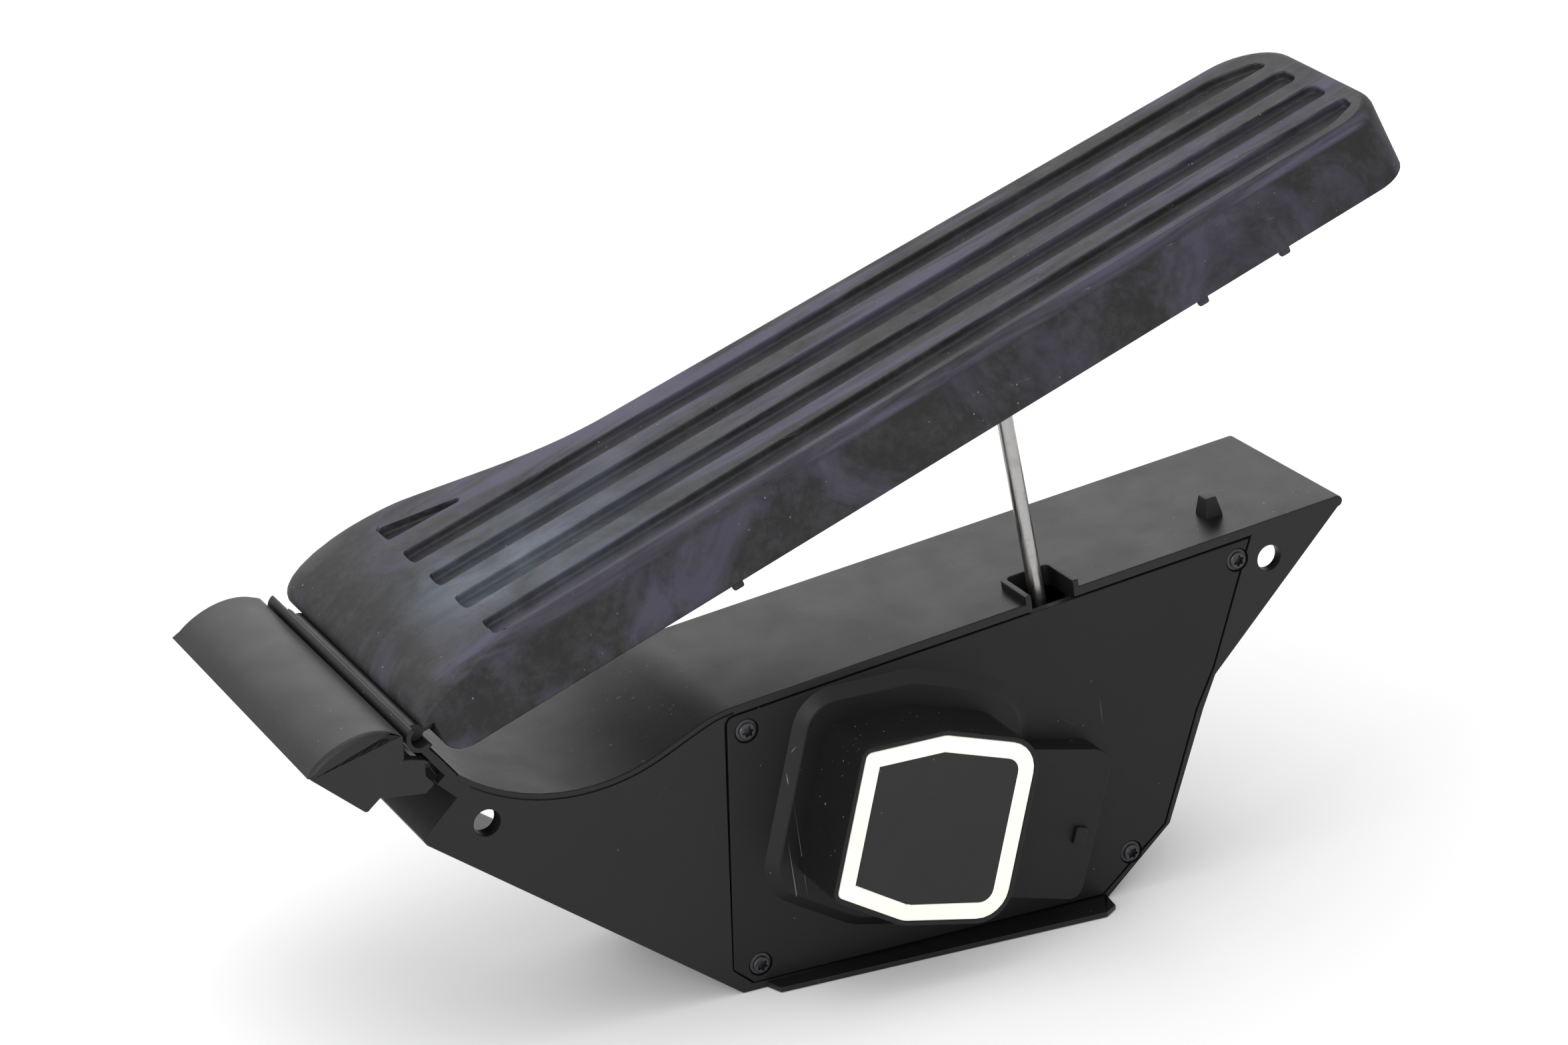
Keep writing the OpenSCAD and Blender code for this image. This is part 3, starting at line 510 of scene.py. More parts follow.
@dataclass(frozen=True)
class StudioPaper:
    """Pale seamless paper under the object."""

    name: str
    colour: tuple = (0.86, 0.86, 0.86)

    def material(self) -> Material:
        """Builds the material.

        Returns:
            The material, with a faint tooth and slow clouds.
        """
        graph = Recipe(self.name, self.colour)
        graph.paint(graph.between(graph.noise(3.0), 0.3, 0.7), tuple(c * 0.985 for c in self.colour))
        graph.emboss(graph.noise(700.0, 2.0), 0.00002, 0.1)
        return graph.close(0.8, Specular_IOR_Level=0.2)


class Finish(Enum):
    """Every finish on the pedal, with the record's slot that it belongs to."""

    BOX = ("box_plastic", Moulded("satin box plastic"))
    COVER = ("cover_plastic", Moulded("cover plastic", (0.0064, 0.0064, 0.0066), 0.46, 0.04, scuffs=0.8,
                                      specular=0.24))
    CAP = ("cap_plastic", Moulded("heel cap plastic", (0.0105, 0.0105, 0.0110), 0.44, 0.04, dust=0.25,
                                  scuffs=0.3))
    PLATE = ("plate_plastic", Moulded("pedal plate plastic", (0.0085, 0.0085, 0.0090), 0.45, 0.05,
                                      dust=0.3))
    LID = ("lid_plastic", Moulded("sensor lid plastic", (0.0120, 0.0120, 0.0125), 0.50, 0.04, 2600.0,
                                  dust=0.7))
    # The pad rubber's colour holds painted sheen on the ribs and a painted highlight on the near band.
    PAD = ("pad_rubber", PadRubber("bloomed pad rubber"))
    SEAL = ("seal_cream", SealRubber("cream seal"))
    ROD = ("rod_steel", Metal("drawn rod steel", (0.40, 0.39, 0.38), 0.30, lines=(700.0, 700.0, 30.0),
                              dull=0.6))
    SCREW = ("screw_steel", Metal("blackened screw steel", (0.055, 0.056, 0.060), 0.36, 0.85))
    SPRING = ("spring_steel", Metal("spring steel", (0.42, 0.42, 0.41), 0.30))
    NYLON = ("nylon", Moulded("natural nylon", (0.62, 0.60, 0.54), 0.38, 0.06, 900.0, dust=0.2,
                              scuffs=0.1))
    BOARD = ("board_green", CircuitBoard("lacquered board"))
    CHIP = ("chip_black", Moulded("chip resin", (0.018, 0.018, 0.019), 0.55, 0.05, 3200.0, dust=0.1))
    BRASS = ("pin_brass", Metal("tinned brass", (0.72, 0.55, 0.27), 0.26))
    MAGNET = ("magnet_grey", Metal("sintered magnet", (0.19, 0.19, 0.20), 0.45, 0.7))

    def dress(self, piece: Object) -> None:
        """Puts this finish on a piece.

        Args:
            piece: The piece to dress.
        """
        label, recipe = self.value
        material = bpy.data.materials.get(recipe.name) or recipe.material()
        piece.data.materials.clear()
        piece.data.materials.append(material)


# Mesh work that the sub-assemblies share.


def linked(name: str, data: ID) -> Object:
    """Makes an object of the data and links it to the scene."""
    made = bpy.data.objects.new(name, data)
    bpy.context.scene.collection.objects.link(made)
    return made


def finished(bm: BMesh, name: str, sharp: float = 35.0) -> Object:
    """Turns a bmesh into a smooth-shaded object at the origin.

    Args:
        bm: Mesh in metres; it is freed.
        name: Name of the piece.
        sharp: Angle above which an edge stays sharp, in degrees.

    Returns:
        The new object.
    """
    normals = even_normals(bm, math.radians(sharp))
    mesh = bpy.data.meshes.new(name)
    bm.to_mesh(mesh)
    bm.free()
    mesh.polygons.foreach_set("use_smooth", [True] * len(mesh.polygons))
    mesh.set_sharp_from_angle(angle=math.radians(sharp))
    mesh.normals_split_custom_set(normals)
    return linked(name, mesh)


def flat_areas(bm: BMesh) -> tuple[list[int], list[float]]:
    """Groups the faces that lie in one plane and touch.

    Args:
        bm: Mesh with up-to-date normals and face numbers.

    Returns:
        The group of each face, and the area of each group.
    """
    group, areas = [-1] * len(bm.faces), []
    for start in bm.faces:
        if group[start.index] >= 0:
            continue
        group[start.index] = len(areas)
        area, queue = 0.0, [start]
        while queue:
            here = queue.pop()
            area += here.calc_area()
            for edge in here.edges:
                for face in edge.link_faces:
                    if group[face.index] < 0 and face.normal.dot(start.normal) > 0.999999:
                        group[face.index] = len(areas)
                        queue.append(face)
        areas.append(area)
    return group, areas


def even_normals(bm: BMesh, limit: float) -> list[Vector]:
    """Weighs the normals at each corner by whole flat areas, so that flats shade evenly.

    Args:
        bm: Mesh in metres.
        limit: Angle above which an edge stays sharp, in radians.

    Returns:
        One normal for each corner of each face, in order.
    """
    bm.normal_update()
    bm.faces.index_update()
    bm.faces.ensure_lookup_table()
    group, areas = flat_areas(bm)
    soft = {e for e in bm.edges if len(e.link_faces) == 2 and e.calc_face_angle(0.0) < limit}
    found: dict[tuple[int, int], Vector] = {}
    for vert in bm.verts:
        left = set(vert.link_faces)
        while left:
            fan, queue = [], [left.pop()]
            while queue:
                face = queue.pop()
                fan.append(face)
                for edge in face.edges:
                    if edge in soft and vert in edge.verts:
                        for other in edge.link_faces:
                            if other in left:
                                left.remove(other)
                                queue.append(other)
            once = {group[f.index]: f.normal for f in fan}
            normal = sum((n * areas[g] for g, n in once.items()), Vector()).normalized()
            for face in fan:
                found[vert.index, face.index] = normal
    return [found[corner.vert.index, face.index] for face in bm.faces for corner in face.loops]


def ease_edges(bm: BMesh, ease: float, steps: int = 2, sharp: float = 28.0,
               chosen: Callable[[BMEdge], bool] = lambda edge: True) -> None:
    """Rounds the sharp outer edges that have room for it.

    Args:
        bm: Mesh in metres.
        ease: Width of the rounding, in mm.
        steps: Segments of the rounding.
        sharp: Angle above which an edge is rounded, in degrees.
        chosen: Tells whether an edge takes part.
    """
    limit, width = math.radians(sharp), ease * MM

    def roomy(edge: BMEdge) -> bool:
        """Tells whether the faces beside an edge are wide enough."""
        length = edge.calc_length()
        return length > 0.7 * width and all(f.calc_area() / length > 1.5 * width for f in edge.link_faces)

    edges = [e for e in bm.edges if len(e.link_faces) == 2 and e.calc_face_angle(0) > limit
             and e.is_convex and roomy(e) and chosen(e)]
    if edges:
        bmesh.ops.bevel(bm, geom=edges, offset=width, offset_type="OFFSET", segments=steps, profile=0.5,
                        affect="EDGES", clamp_overlap=False, material=-1)


def merged(mesh: Mesh, flat: float = 0.6) -> BMesh:
    """Joins a mesh's doubled points and the faces that lie in one plane.

    Args:
        mesh: Mesh in metres; it is left alone.
        flat: Angle below which faces count as one plane, in degrees.

    Returns:
        The merged mesh.
    """
    bm = bmesh.new()
    bm.from_mesh(mesh)
    bmesh.ops.remove_doubles(bm, verts=bm.verts, dist=WELD)
    bmesh.ops.dissolve_limit(bm, angle_limit=math.radians(flat), verts=bm.verts, edges=bm.edges)
    return bm


def placed(bm: BMesh, place: Matrix) -> BMesh:
    """Turns the faces of a closed mesh outwards and moves it to its place."""
    bmesh.ops.recalc_face_normals(bm, faces=bm.faces)
    bmesh.ops.transform(bm, matrix=place, verts=bm.verts)
    return bm


def prism(outline: Iterable[Sequence[float]], low: float, high: float, place: Matrix) -> BMesh:
    """Extrudes a flat outline.

    Args:
        outline: Points of the outline, in mm.
        low: Height of the lower face, in mm.
        high: Height of the upper face, in mm.
        place: Matrix from drawing millimetres to the frame.

    Returns:
        The closed mesh, with its faces outwards.
    """
    bm = bmesh.new()
    ring = [bm.verts.new((x, y, low)) for x, y in outline]
    base = bm.faces.new(ring)
    out = bmesh.ops.extrude_face_region(bm, geom=[base])
    top = [g for g in out["geom"] if isinstance(g, BMVert)]
    bmesh.ops.translate(bm, verts=top, vec=(0, 0, high - low))
    return placed(bm, place)


def rounded(corners: Sequence[Sequence[float]], steps: int) -> list[tuple[float, float]]:
    """Rounds the corners of an anticlockwise outline by their own radii.

    Args:
        corners: Points as x, y and radius.
        steps: Segments of each round corner.

    Returns:
        The points of the rounded outline.
    """
    points: list[tuple[float, float]] = []
    for i, (x, y, radius) in enumerate(corners):
        here = Vector((x, y))
        back = (Vector(corners[i - 1][:2]) - here).normalized()
        ahead = (Vector(corners[(i + 1) % len(corners)][:2]) - here).normalized()
        if not radius:
            points.append((x, y))
            continue
        half = math.acos(max(-1.0, min(1.0, back.dot(ahead)))) / 2
        centre = here + (back + ahead).normalized() * radius / math.sin(half)
        first = here + back * radius / math.tan(half) - centre
        final = here + ahead * radius / math.tan(half) - centre
        start = math.atan2(first.y, first.x)
        turn = (math.atan2(final.y, final.x) - start + 3 * math.pi) % (2 * math.pi) - math.pi
        for k in range(steps + 1):
            angle = start + turn * k / steps
            points.append((centre.x + radius * math.cos(angle), centre.y + radius * math.sin(angle)))
    return points


def moved_out(corners: Sequence[Sequence[float]], grow: float,
              least: float = 0.5) -> list[tuple[float, float, float]]:
    """Moves the sides of an anticlockwise outline outwards, and lets its corner radii follow.

    Args:
        corners: Points as x, y and radius.
        grow: How far the sides move, in mm.
        least: Smallest corner radius, in mm.

    Returns:
        The corners of the larger outline.
    """
    out = []
    for i, (x, y, radius) in enumerate(corners):
        back = (Vector((x, y)) - Vector(corners[i - 1][:2])).normalized()
        ahead = (Vector(corners[(i + 1) % len(corners)][:2]) - Vector((x, y))).normalized()
        first, last = Vector((back.y, -back.x)), Vector((ahead.y, -ahead.x))
        corner = Vector((x, y)) + (first + last) / (1 + first.dot(last)) * grow
        out.append((corner.x, corner.y, max(least, radius + grow)))
    return out


def worked(piece: Object, tools: Sequence[BMesh], fit: Fit) -> None:
    """Cuts tools out of a piece, or joins them to it, and keeps the result as its mesh.

    Args:
        piece: The piece to work on.
        tools: Closed meshes in metres; they are freed.
        fit: Whether they cut or join.
    """
    helpers = []
    for number, tool in enumerate(tools):
        mesh = bpy.data.meshes.new(f"tool_{number}")
        tool.to_mesh(mesh)
        tool.free()
        helpers.append(linked(f"tool_{number}", mesh))
        step = piece.modifiers.new(f"tool_{number}", "BOOLEAN")
        step.operation, step.solver, step.object = fit.value, "EXACT", helpers[-1]
    bpy.context.view_layer.update()
    result = bpy.data.meshes.new_from_object(piece.evaluated_get(bpy.context.evaluated_depsgraph_get()))
    piece.modifiers.clear()
    piece.data = result
    for helper in helpers:
        bpy.data.objects.remove(helper)


def reworked(node: str, tool: BMesh, fit: Fit, flat: float = 0.6) -> BMesh:
    """Cuts a tool out of a copy of a CAD node, or joins it to the copy.

    Args:
        node: Name of the CAD node, which is left alone.
        tool: Closed mesh in metres; it is freed.
        fit: Whether it cuts or joins.
        flat: Angle below which faces of the result count as one plane, in degrees.

    Returns:
        The merged result in metres.
    """
    blank = finished(merged(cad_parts[node].data), f"{node}_blank")
    worked(blank, [tool], fit)
    bm = merged(blank.data, flat)
    bpy.data.objects.remove(blank)
    return bm


def lathed(profile: Sequence[Sequence[float]], steps: int, place: Matrix) -> BMesh:
    """Spins a profile round the local Z axis.

    Args:
        profile: Points as radius and height in mm, from axis to axis.
        steps: Segments round the axis.
        place: Matrix from local millimetres to the frame.

    Returns:
        The closed mesh, with its faces outwards.
    """
    bm = bmesh.new()
    verts = [bm.verts.new((r, 0, z)) for r, z in profile]
    edges = [bm.edges.new(pair) for pair in zip(verts, verts[1:])]
    bmesh.ops.spin(bm, geom=verts + edges, cent=(0, 0, 0), axis=(0, 0, 1), angle=math.tau, steps=steps,
                   use_merge=True)
    bmesh.ops.remove_doubles(bm, verts=bm.verts, dist=1e-4)
    return placed(bm, place)


# Sub-assemblies.


@dataclass
class SubAssembly:
    """A group of pieces that ride on one body.

    Its copies are CAD nodes, each with its finish and the width of its rounded edges in mm.
    """

    body: Body = Body.BASE
    copies: tuple = ()

    def fitted(self, piece: Object, finish: Finish, node: str) -> Object:
        """Dresses a piece, lets it ride on the body and hides what it stands for.

        Args:
            piece: The new piece.
            finish: Its finish.
            node: CAD node that it replaces.

        Returns:
            The same piece.
        """
        finish.dress(piece)
        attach(piece, self.body.value)
        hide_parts(node)
        log.info("%-18s %6d faces on %s", piece.name, len(piece.data.polygons), self.body.value)
        return piece

    def eased(self, node: str, finish: Finish, ease: float) -> Object:
        """Replaces a CAD node by a clean copy with its edges rounded as a mould leaves them.

        Args:
            node: Name of the CAD node.
            finish: Its finish.
            ease: Width of the rounded edges in mm, or 0 for none.

        Returns:
            The new piece.
        """
        bm = merged(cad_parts[node].data)
        if ease:
            ease_edges(bm, ease)
        return self.fitted(finished(bm, f"{node}_piece"), finish, node)

    def build(self) -> None:
        """Replaces each node among the copies."""
        for node, finish, ease in self.copies:
            self.eased(node, finish, ease)


@dataclass
class BoxShell(SubAssembly):
    """The black housing with deck, hollow, ramp and both mounting holes."""

    edge: float = 0.35
    hollow_centre: tuple = (39.5, 112.3)
    hollow_r: float = 48.5
    hollow_turn: tuple = (-124.0, -65.0)
    bend: tuple = ((70.6, 73.3), (74.2, 74.7), (78.6, 75.6))
    below_bend: tuple = (0.25, -0.97)
    line_at: float = 1.15
    line_w: float = 0.5
    line_depth: float = 0.4
    clear: float = 2.0
    steps: int = 14

    def shadow_line(self) -> BMesh:
        """Makes the cutter of the fine line below the hollow's near edge.

        Returns:
            A closed band that follows the hollow and the bend into the deck.
        """
        (x0, z0), (aside, down) = self.hollow_centre, self.below_bend
        turns = [math.radians(mix(*self.hollow_turn, i / self.steps)) for i in range(self.steps + 1)]
        rims = []
        for extra in (self.line_at, self.line_at + self.line_w):
            radius = self.hollow_r + extra
            rims.append([(x0 + radius * math.cos(t), z0 + radius * math.sin(t)) for t in turns]
                        + [(x + aside * extra, z + down * extra) for x, z in self.bend])
        band = rims[0] + rims[1][::-1]
        return prism(band, 0, self.line_depth + self.clear, side_view(self.line_depth))

    def build(self) -> None:
        """Builds the housing and cuts its line before the edges are eased."""
        bm = reworked("housing", self.shadow_line(), Fit.CUT)
        ease_edges(bm, self.edge)
        self.fitted(finished(bm, "housing_piece"), Finish.BOX, "housing")


@dataclass
class TorxScrew:
    """Pan-head cover screw with a flange and a six-lobed recess."""

    flange_r: float = 2.9
    flange_h: float = 0.75
    head_r: float = 2.15
    head_h: float = 1.85
    shank_r: float = 1.4
    shank_l: float = 12.6
    lobe_r: float = 1.28
    lobe_in: float = 0.24
    lobes: int = 6
    recess: float = 1.3
    round_steps: int = 48
    star_steps: int = 60

    def mesh(self, seat: Vector, turn: float) -> Object:
        """Builds one screw, its head towards the near side.

        Args:
            seat: Middle of the seat under the head, in metres.
            turn: How far the recess is turned, in degrees.

        Returns:
            The screw, not yet dressed.
        """
        place = (Matrix.Translation(seat) @ Matrix.Rotation(math.radians(90), 4, "X")
                 @ Matrix.Rotation(math.radians(turn), 4, "Z") @ Matrix.Scale(MM, 4))
        flange, head, shank = self.flange_r, self.head_r, self.shank_r
        step, top, tip = self.flange_h, self.head_h, -self.shank_l
        profile = [(0, top), (head - 0.55, top), (head - 0.2, top - 0.08), (head, top - 0.32),
                   (head, step + 0.1), (head + 0.12, step), (flange - 0.15, step - 0.1),
                   (flange, step - 0.28), (flange, 0.08), (flange - 0.1, 0), (shank, 0), (shank, 1 + tip),
                   (shank - 0.6, tip), (0, tip)]
        screw = finished(lathed(profile, self.round_steps, place), "screw")
        star = []
        for i in range(self.star_steps):
            angle = math.tau * i / self.star_steps
            radius = self.lobe_r + self.lobe_in * math.cos(self.lobes * angle)
            star.append((radius * math.cos(angle), radius * math.sin(angle)))
        worked(screw, [prism(star, top - self.recess, top + 1, place)], Fit.CUT)
        return screw


@dataclass
class SensorCover(SubAssembly):
    """Side cover with the sensor block, its lid, pale seal, screws, board and contacts."""

    edge: float = 0.35
    seat: float = 1.18
    screw_turns: tuple = (12.0, 40.0, -8.0, 25.0)
    block: tuple = ((92.9, 29.9, 3), (111, 18.8, 10), (139.5, 12.4, 9), (151.2, 58.3, 9), (125, 67, 4),
                    (102.6, 67.1, 3))
    foot: tuple = ((-1.0, 0.5), (8.3, 0.5), (8.3, 0.0), (5.4, -2.3), (-1.0, -2.3))
    seal_more: float = 1.0
    seal_front: float = 0.1
    seal_round: float = 0.4
    corner_steps: int = 8
    copies: tuple = (("sensor_board", Finish.BOARD, 0), ("hall_sensor", Finish.CHIP, 0.25),
                     ("connector_pins", Finish.BRASS, 0.15))

    def foot_ring(self) -> BMesh:
        """Makes the low sloping foot round the sensor block.

        Returns:
            The closed ring, which starts inside the block's wall.
        """
        bm = bmesh.new()
        loops = []
        for grow, depth in self.foot:
            outline = rounded(moved_out(self.block, grow), self.corner_steps)
            loops.append([bm.verts.new(on_drawing(x, depth, z)) for x, z in outline])
        for here, after in zip(loops, loops[1:] + loops[:1]):
            for i in range(len(here)):
                bm.faces.new((here[i - 1], here[i], after[i], after[i - 1]))
        bmesh.ops.recalc_face_normals(bm, faces=bm.faces)
        return bm

    def wide_seal(self) -> Object:
        """Copies the seal and lets its bead spread inwards over the edge of the lid.

        Returns:
            The seal, not yet dressed.
        """
        bm = merged(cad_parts["seal_ring"].data)
        bm.normal_update()
        low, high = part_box("seal_ring")
        centre, front = (low + high) / 2, low.y + self.seal_front * MM
        moves = {}
        for vert in bm.verts:
            inward = centre - vert.co
            walls = [f.normal for f in vert.link_faces if abs(f.normal.y) < 0.1 and f.normal.dot(inward) > 0]
            if walls and vert.co.y < front:
                first, last = walls[0], walls[-1]
                moves[vert] = (first + last) / (1 + first.dot(last)) * self.seal_more * MM
        for vert, move in moves.items():
            vert.co += move
        ease_edges(bm, self.seal_round, 3)
        return finished(bm, "seal_ring_piece")

    def build(self) -> None:
        """Builds the cover and everything that it carries."""
        bm = reworked("side_cover", self.foot_ring(), Fit.JOIN)
        ease_edges(bm, self.edge)
        self.fitted(finished(bm, "side_cover_piece"), Finish.COVER, "side_cover")
        self.eased("sensor_lid", Finish.LID, 0.3)
        self.fitted(self.wide_seal(), Finish.SEAL, "seal_ring")
        super().build()
        for number, turn in enumerate(self.screw_turns, 1):
            node = f"cover_screw_{number}"
            low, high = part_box(node)
            centre = (low + high) / 2
            screw = TorxScrew().mesh(Vector((centre.x, self.seat * MM, centre.z)), turn)
            screw.name = f"{node}_piece"
            self.fitted(screw, Finish.SCREW, node)


@dataclass
class HeelCap(SubAssembly):
    """The D-section cap in front of the hinge, crowned in one smooth sweep."""

    width: float = 97.0
    edge: float = 0.35
    end_round: float = 1.6
    sweep: tuple = ((-27.4, 82.0), (-22.6, 88.0), (-11.2, 92.4), (-4.2, 87.5))
    backing: tuple = ((-5.2, 85.8), (-11.0, 87.4), (-24.2, 83.2), (-26.4, 81.6))
    front: tuple = (-20.0, 82.5)
    back: tuple = (-5.0, 86.9)
    steps: int = 20

    def crown(self) -> BMesh:
        """Extrudes the sweep over the cap's back, along its whole width.

        Returns:
            The closed crown, which reaches into the cap's wall.
        """
        a, b, c, d = (Vector(p) for p in self.sweep)
        outline = []
        for i in range(self.steps + 1):
            t = i / self.steps
            s = 1 - t
            outline.append(a * s ** 3 + b * 3 * t * s ** 2 + c * 3 * t * t * s + d * t ** 3)
        outline += [Vector(p) for p in self.backing]
        return prism(outline, 0, self.width, side_view(self.width))

    def on_sweep(self, edge: BMEdge) -> bool:
        """Tells whether an edge runs round the sweep at one end of the cap.

        Args:
            edge: Edge of the cap in metres.

        Returns:
            Whether both its ends lie on the sweep: it comes lowest at the front, and ends at the back.
        """
        near = on_drawing(self.front[0], 0, self.front[1])
        far = on_drawing(self.back[0], self.width, self.back[1])

        def lies(point: Vector) -> bool:
            """Tells whether a point is on the sweep, seen from the side."""
            return near.z < point.z and point.x < far.x and (point.z > far.z or point.x < near.x)

        return any(all(abs(v.co.y - end) < 5 * WELD and lies(v.co) for v in edge.verts)
                   for end in (near.y, far.y))

    def build(self) -> None:
        """Builds the cap and rounds its ends more than its other edges."""
        bm = reworked("heel_cap", self.crown(), Fit.JOIN, 0.3)
        ease_edges(bm, self.end_round, 5, chosen=self.on_sweep)
        ease_edges(bm, self.edge, sharp=40.0)
        self.fitted(finished(bm, "heel_cap_piece"), Finish.CAP, "heel_cap")


@dataclass
class RubberPad(SubAssembly):
    """The grooved rubber pad, drawn along the pedal: u to the toe, v away, n up from the hinge.

    The near edge is straight at three levels: the skirt's foot, the crease and the top. Each line is given by
    its v at the hinge and its slope.
    """

    body: Body = Body.TREADLE
    length: float = 286.0
    near_lines: tuple = ((0.0, 0.0115), (1.0, 0.0238), (4.4, 0.0155))
    far_edge: float = 72.4
    far_taper: float = 0.018
    far_lean: float = 4.0
    flare_width: float = 21.5
    flare_span: tuple = (10.0, 90.0)
    flare_start: float = 100.0
    flare_points: int = 15
    top: float = 10.2
    drop: float = 8.6
    skirt: float = 2.4
    rubber: float = 5.5
    hollow_low: float = -5.6
    heel_out: float = 1.6
    heel_in: float = 26.5
    heel_roll: tuple = (2.2, 2.2)
    tuck_at: float = 4.4
    tuck_r: float = 5.0
    tuck_top: float = -3.0
    lip: float = 1.5
    toe_radius: float = 15.0
    toe_near_less: float = 3.0
    heel_radius: float = 11.0
    heel_gap: float = 2.5
    heel_ahead: float = 12.0
    heel_more: float = 1.0
    corner_steps: int = 10
    soft_radius: float = 6.5
    shoulder_in: float = 2.6
    skew: float = 3.5
    crease: float = 7.2
    skirt_levels: tuple = (-7.9, -7.2, -6.4, -5.6, -4.3, -3)
    side_levels: tuple = (2.2, 2.8, 3.4, 4.2, 5, 6.1)
    shoulder_steps: int = 10
    groove_depth: float = 2.2
    groove_round: float = 0.75
    groove_steps: int = 5
    clear: float = 3.0
    groove_ends: tuple = (27.4, 281.0)
    groove_shapes: tuple = (
        ((27.4, 6.4, 1.2), (272.0, 11.4, 14), (280.5, 15.4, 2.4), (281.0, 20.0, 1.5), (27.4, 15.0, 1.2)),
        ((27.4, 23.7, 1.2), (281.0, 26.8, 2.4), (281.3, 34.8, 2.4), (27.4, 32.2, 1.2)),
        ((27.4, 40.4, 1.2), (281.4, 41.5, 2.4), (281.7, 49.9, 2.4), (27.4, 48.6, 1.2)),
        ((27.4, 57.4, 1.2), (281.8, 56.3, 1.2), (280.0, 60.8, 3), (270.0, 64.8, 14), (27.4, 65.8, 1.2)),
        ((27.4, 75.0, 1.2), (47.5, 74.2, 0.7), (47.8, 76.4, 0.7), (27.4, 83.7, 1.4)))
    groove_middles: tuple = ((10.7, 16.6), (27.9, 30.8), (44.5, 45.7), (61.5, 59.0), (75.7, 75.7))
    bead_span: tuple = (3.5, 82.8)
    bead_r: float = 2.36
    bead_steps: int = 32
    web: tuple = (-1.0, 12.1, 1.21)
    web_play: tuple = (0.01, 0.1)
    nub_places: tuple = (82.6, 219.0, 243.8)
    nub: tuple = (2.9, 1.7, 1.9)
    nub_in: float = 0.5
    nub_reach: float = 0.4
    edge: float = 0.55
    edge_steps: int = 3

    def near(self, u: float, n: float) -> float:
        """Gives the edge on the near side: an upright skirt, then a slanted band above the crease.

        Args:
            u: Place along the pedal, in mm.
            n: Height, in mm.

        Returns:
            The edge's v.
        """
        foot, crease, top = (start + slope * u for start, slope in self.near_lines)
        if n < self.crease:
            return mix(foot, crease, share(n, -self.drop, self.crease))
        return mix(crease, top, share(n, self.crease, self.top))

    def shoulder(self, n: float) -> float:
        """How far the rounded shoulder has turned in at a height."""
        turned = share(n, self.crease, self.top)
        return self.shoulder_in * (1 - math.sqrt(1 - turned ** 2))

    def far(self, u: float, n: float) -> float:
        """Gives the edge on the far side, which flares out towards the heel.

        Args:
            u: Place along the pedal, in mm.
            n: Height, in mm.

        Returns:
            The edge's v.
        """
        flare = (1 + math.cos(math.pi * share(u, *self.flare_span))) / 2
        lean = self.far_lean * (self.top - n) / (self.top + self.drop)
        straight = self.far_edge + self.far_taper * (self.length - u)
        return straight + self.flare_width * flare + lean - self.shoulder(n)

    def heel(self, n: float) -> float:
        """Gives the edge at the heel: it rolls down to the hinge and tucks under behind it.

        Args:
            n: Height, in mm.

        Returns:
            The edge's u.
        """
        if n > self.lip:
            start, power = self.heel_roll
            return self.heel_out + (self.heel_in - self.heel_out) * share(n, start, self.top) ** power
        under = 1 - share(n, -self.drop, self.tuck_top)
        return self.tuck_at + self.tuck_r * (1 - math.sqrt(1 - under ** 2))

    def ring(self, n: float, inset: float = 0.0, level: Optional[float] = None) -> list[Vector]:
        """One level of the pad's skin.

        Args:
            n: Height whose outline is taken, in mm.
            inset: How far the outline is moved in, in mm.
            level: Height at which it is placed, n by default.

        Returns:
            The points of the ring in pedal millimetres.
        """
        h, t = self.heel(n) + inset, self.length - self.shoulder(n) - inset
        radius = self.toe_radius - inset
        soft = 1 + self.soft_radius * share(n, self.lip, self.top)
        corners = [(h, self.near(h, n) + inset, soft),
                   (t, self.near(t, n) + inset, radius - self.toe_near_less),
                   (t + self.skew, self.far(t, n) - inset, radius)]
        last, count = h + self.heel_radius + self.heel_gap, self.flare_points
        flared = [mix(self.flare_start, last, i / (count - 1)) for i in range(count)]
        corners += [(u, self.far(u, n) - inset, 0) for u in flared]
        out = self.far(h + self.heel_ahead, n) - inset + self.heel_more
        points = rounded(corners + [(h, out, self.heel_radius)], self.corner_steps)
        return [Vector((x, y, n if level is None else level)) for x, y in points]

    def skin(self) -> BMesh:
        """Extrudes a ring from the hollow's ceiling, down inside the skirt and up over the outside.

        Returns:
            The closed mesh in metres.
        """
        rings = [self.ring(0.0, self.skirt, level) for level in (self.top - self.rubber, self.hollow_low)]
        deepest = self.heel(-self.drop) + self.skirt
        for level in (self.hollow_low, -self.drop):
            rings.append([Vector((max(p.x, deepest), p.y, level)) for p in rings[0]])
        levels = [-self.drop, *self.skirt_levels, self.lip - 0.05, self.lip + 0.05, *self.side_levels,
                  self.crease]
        for i in range(1, self.shoulder_steps + 1):
            turn = math.radians(90 / self.shoulder_steps * i)
            levels.append(self.crease + (self.top - self.crease) * math.sin(turn))
        rings += [self.ring(n) for n in levels]
        bm = bmesh.new()
        loop = [bm.verts.new(p) for p in rings[0]]
        edges = [bm.edges.new((loop[i - 1], v)) for i, v in enumerate(loop)]
        bmesh.ops.contextual_create(bm, geom=edges)
        for ring in rings[1:]:
            grown = bmesh.ops.extrude_edge_only(bm, edges=edges)["geom"]
            fresh = {g for g in grown if isinstance(g, BMVert)}
            loop = [next(e.other_vert(v) for e in v.link_edges if e.other_vert(v) in fresh) for v in loop]
            for vert, point in zip(loop, ring):
                vert.co = point
            edges = [g for g in grown if isinstance(g, BMEdge)]
        bmesh.ops.contextual_create(bm, geom=edges)
        return placed(bm, TO_PEDAL)

